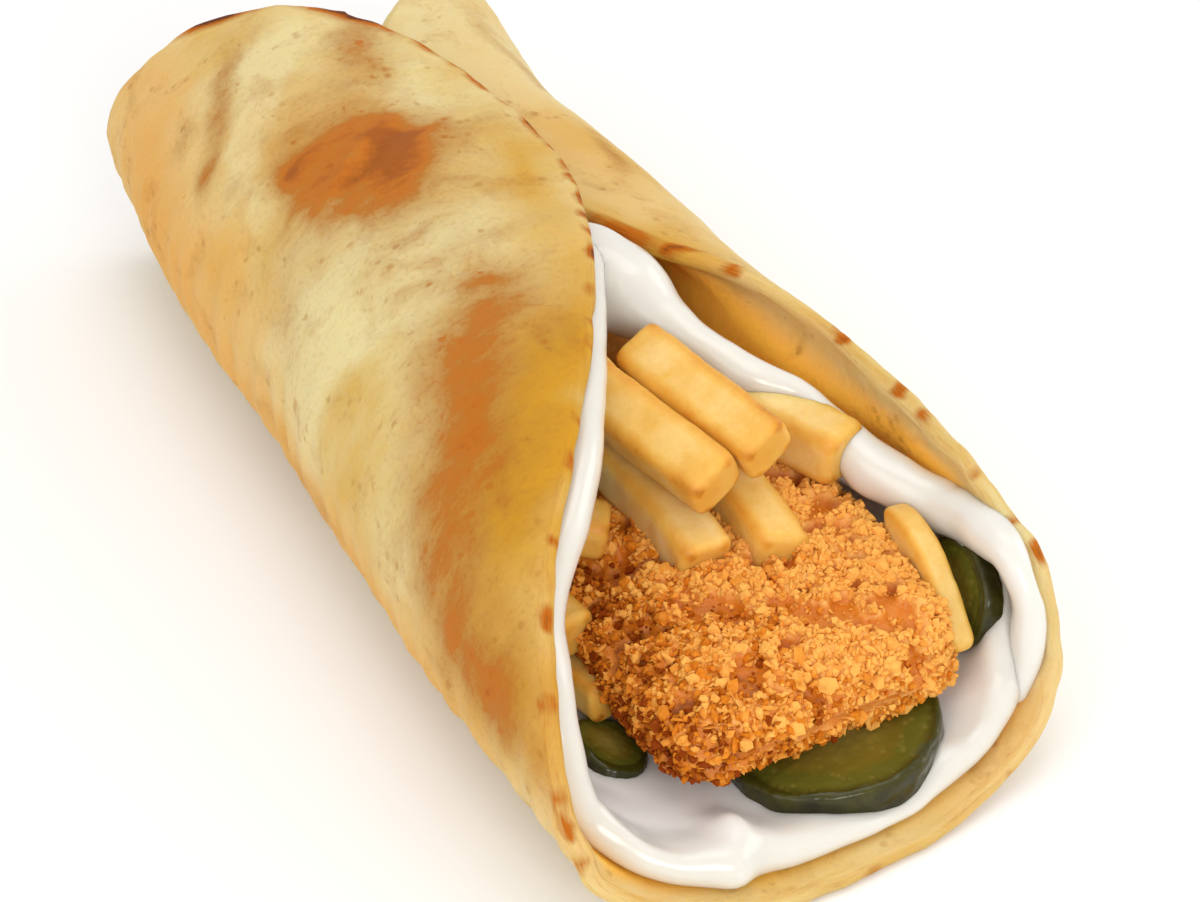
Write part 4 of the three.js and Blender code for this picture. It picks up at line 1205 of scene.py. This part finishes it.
def make_stage(settings):
    """Pale floor, an even light all round, lamps above, at both sides and in front, and the camera."""
    corners = FLOOR_REACH * np.array([(-1, -1, 0), (1, -1, 0), (1, 1, 0), (-1, 1, 0)])
    floor = write_piece("floor", corners, [np.array([[0, 1, 2, 3]])])
    paper = new_material("matt_backdrop_paper")
    shader = add_node(paper, "ShaderNodeBsdfPrincipled", {"Base Color": settings.floor, "Roughness": 0.9})
    add_node(paper, "ShaderNodeOutputMaterial", {"Surface": shader.outputs[0]})
    floor.data.materials.append(paper)

    world = bpy.data.worlds.new("soft_room")
    world.use_nodes = True
    background = world.node_tree.nodes["Background"]
    background.inputs["Color"].default_value = settings.room
    background.inputs["Strength"].default_value = settings.room_strength
    bpy.context.scene.world = world
    for name, place, size, power in LIGHTS:
        lamp = bpy.data.lights.new(name, "AREA")
        lamp.shape = "DISK"
        lamp.size = size * MM
        lamp.energy = power * settings.light_strength
        light = bpy.data.objects.new(name, lamp)
        light.location = Vector(place) * MM
        light.rotation_euler = (-light.location).to_track_quat("-Z", "Y").to_euler()
        bpy.context.scene.collection.objects.link(light)

    level, rise = math.cos(settings.elevation), math.sin(settings.elevation)
    back = Vector((math.sin(settings.azimuth) * level, -math.cos(settings.azimuth) * level, rise))
    lens = bpy.data.cameras.new("camera")
    lens.lens, lens.sensor_width = LENS, SENSOR_WIDTH
    lens.clip_start = 0.01
    camera = bpy.data.objects.new("camera", lens)
    camera.location = Vector(CAMERA_TARGET) * MM + back * settings.distance
    camera.rotation_euler = (-back).to_track_quat("-Z", "Y").to_euler()
    bpy.context.scene.collection.objects.link(camera)
    bpy.context.scene.camera = camera
    bpy.context.scene.view_settings.view_transform = "Standard"


# ------------------------------------------------------------------------------------------ sizes and colours


def colour(name, code, description):
    """Colour property whose default is an sRGB hex colour."""
    return FloatVectorProperty(
        name=name, description=description, default=linear(code), size=4, subtype="COLOR", min=0.0, max=1.0)


def size(name, millimetres, description):
    """Length property whose default is in millimetres."""
    return FloatProperty(name=name, description=description, default=millimetres * MM, min=0.0, unit="LENGTH")


def camera_angle(name, degrees, description):
    """Angle property whose default is in degrees."""
    return FloatProperty(name=name, description=description, default=math.radians(degrees), subtype="ANGLE")


def light_level(name, default, description):
    """Property for the strength of a light."""
    return FloatProperty(name=name, description=description, default=default, min=0.0)


def crumb_count(name, default, description):
    """Property for how many there are."""
    return IntProperty(name=name, description=description, default=default, min=0, max=9900)


class FlatbreadSettings(bpy.types.PropertyGroup):
    """Sizes and colours of the flatbread."""

    thickness: size("Thickness", BREAD_THICKNESS, "Thickness of the bread")
    relief: size("Relief", 1.0, "Height of its folds and ripples")
    # Also the colour of the painted light on the right-hand side.
    pale: colour("Pale crust", "#DCCB94", "Crust that puffed up from the heat")
    warm: colour("Warm crust", "#CEA858", "Lightly baked crust")
    blush: colour("Blushed crust", "#DEA04C", "Orange blush on the sides and the rim")
    golden: colour("Golden crust", "#CA9422", "Yellow crust on the flap and beside its edge")
    # The bread's own inner colour, painted brighter as a glow of light shining through the thin bread.
    inside: colour("Inside", "#FFBE48", "Inner face beside the sauce")
    toast_light: colour("Light toast", "#A86E24", "Lightly toasted places")
    toast_mid: colour("Toast", "#B8660C", "Well toasted places")
    toast_dark: colour("Dark toast", "#9A4C04", "Darkest toasted places")
    scorch: colour("Scorch", "#5A2B0E", "Burnt edge")


class SauceSettings(bpy.types.PropertyGroup):
    """Sizes and colours of the garlic sauce."""

    lining: size("Lining", 3.8, "Thickness of the sauce on the bread")
    bead: size("Edge", 6.0, "Thickness of its rounded edge")
    bead_width: size("Edge width", 9.0, "How far in the thick edge reaches")
    colour: colour("Sauce", "#F0EEEA", "Whipped garlic and oil")
    # Painted shade on the sauce's rim and ridge.
    oily: colour("Oily edge", "#DAD6CC", "Edge and ridge, with oil")


class CutletSettings(bpy.types.PropertyGroup):
    """Sizes and colours of the cutlet and its crumbs."""

    grit: size("Grit", 0.65, "Diameter of a fine crumb")
    nub: size("Nub", 1.0, "Diameter of a small crumb")
    flake: size("Flake", 1.35, "Diameter of a large crumb")
    crumbs: crumb_count("Crumbs", 9900, "How many fine crumbs and how many small ones")
    flakes: crumb_count("Flakes", 5200, "How many large crumbs")
    # The dark colours also serve as painted shade in the hollows and low at the left, the light ones as
    # painted light.
    batter: colour("Batter", "#D47A18", "Fried batter between the crumbs")
    batter_dark: colour("Dark batter", "#8A3E06", "Batter in the hollows")
    crumb_light: colour("Light crumb", "#F0AE54", "Lightest crumbs")
    crumb_mid: colour("Crumb", "#D87E1C", "Golden crumbs")
    crumb_dark: colour("Dark crumb", "#8A3A06", "Browned crumbs")


class FrySettings(bpy.types.PropertyGroup):
    """Colours of the fries."""

    flesh: colour("Pale potato", "#EED08A", "Palest sides")
    flesh_warm: colour("Potato", "#E4B456", "Sides")
    golden: colour("Golden", "#DA9C3A", "Edges")
    browned: colour("Browned", "#B06814", "Darkest edges and ends")


class PickleSettings(bpy.types.PropertyGroup):
    """Colours of the pickle slices."""

    heart: colour("Heart", "#94823A", "Flesh at the middle")
    flesh: colour("Flesh", "#6E5E1C", "Flesh")
    under_skin: colour("Under the skin", "#5C5A1C", "Flesh beside the skin")
    skin: colour("Skin", "#1E1C06", "Dark skin")
    skin_light: colour("Light skin", "#403E10", "Lighter streaks of the skin")


class StageSettings(bpy.types.PropertyGroup):
    """Floor, light and camera."""

    floor: colour("Floor", "#F6F5F3", "Backdrop paper")
    room: colour("Room", "#FFFFFF", "Colour of the room's light")
    room_strength: light_level("Room strength", 0.78, "Strength of the room's light")
    light_strength: light_level("Light strength", 0.31, "Strength of the lamps")
    azimuth: camera_angle("Azimuth", -25, "Camera's turn round the sandwich")
    elevation: camera_angle("Elevation", 36, "Camera's height above the horizon")
    distance: size("Distance", 541.0, "Camera's distance")


# -------------------------------------------------------------------------------------------------- operators


class SANDWICH_OT_stage(bpy.types.Operator):
    """Make the floor, the lights and the camera"""

    bl_idname = "sandwich.stage"
    bl_label = "Stage"

    def execute(self, context):
        make_stage(context.scene.sandwich_stage)
        return {"FINISHED"}


class SANDWICH_OT_flatbread(bpy.types.Operator):
    """Make the rolled flatbread"""

    bl_idname = "sandwich.flatbread"
    bl_label = "Flatbread"

    def execute(self, context):
        make_flatbread(context.scene.sandwich_flatbread)
        return {"FINISHED"}


class SANDWICH_OT_sauce(bpy.types.Operator):
    """Make the garlic sauce"""

    bl_idname = "sandwich.sauce"
    bl_label = "Garlic sauce"

    def execute(self, context):
        make_sauce(context.scene.sandwich_sauce)
        return {"FINISHED"}


class SANDWICH_OT_cutlet(bpy.types.Operator):
    """Make the breaded cutlet and its crumbs"""

    bl_idname = "sandwich.cutlet"
    bl_label = "Breaded cutlet"

    def execute(self, context):
        make_cutlet(context.scene.sandwich_cutlet)
        make_crumbs(context.scene.sandwich_cutlet)
        return {"FINISHED"}


class SANDWICH_OT_fries(bpy.types.Operator):
    """Make the fries in the mouth and the ones further inside"""

    bl_idname = "sandwich.fries"
    bl_label = "Fries"

    def execute(self, context):
        make_fries(context.scene.sandwich_fries)
        make_heap(context.scene.sandwich_fries)
        return {"FINISHED"}


class SANDWICH_OT_pickles(bpy.types.Operator):
    """Make the pickle slices"""

    bl_idname = "sandwich.pickles"
    bl_label = "Pickle slices"

    def execute(self, context):
        make_pickles(context.scene.sandwich_pickles)
        return {"FINISHED"}


OPERATORS = (
    SANDWICH_OT_stage, SANDWICH_OT_flatbread, SANDWICH_OT_sauce, SANDWICH_OT_cutlet, SANDWICH_OT_fries,
    SANDWICH_OT_pickles,
)
SETTINGS = {
    "sandwich_stage": StageSettings, "sandwich_flatbread": FlatbreadSettings, "sandwich_sauce": SauceSettings,
    "sandwich_cutlet": CutletSettings, "sandwich_fries": FrySettings, "sandwich_pickles": PickleSettings,
}


class SANDWICH_PT_sidebar(bpy.types.Panel):
    """Lists the sandwich's pieces with their sizes and colours"""

    bl_idname = "SANDWICH_PT_sidebar"
    bl_label = "Rolled potato sandwich"
    bl_space_type = "VIEW_3D"
    bl_region_type = "UI"
    bl_category = "Sandwich"

    def draw(self, context):
        for operator, label in zip(OPERATORS, SETTINGS):
            box = self.layout.box()
            box.operator(operator.bl_idname)
            group = getattr(context.scene, label)
            for prop in group.bl_rna.properties:
                if prop.identifier not in ("name", "rna_type"):
                    box.prop(group, prop.identifier)


def register():
    """Registers the settings, operators and panel."""
    for group in (*SETTINGS.values(), *OPERATORS, SANDWICH_PT_sidebar):
        bpy.utils.register_class(group)
    for label, group in SETTINGS.items():
        setattr(bpy.types.Scene, label, PointerProperty(type=group))


def unregister():
    """Takes them out again."""
    for label in SETTINGS:
        delattr(bpy.types.Scene, label)
    for group in (SANDWICH_PT_sidebar, *reversed(OPERATORS), *SETTINGS.values()):
        bpy.utils.unregister_class(group)


def main():
    """Makes the whole sandwich."""
    register()
    for operator in OPERATORS:
        getattr(bpy.ops.sandwich, operator.bl_idname.split(".")[1])()


if __name__ == "__main__":
    main()
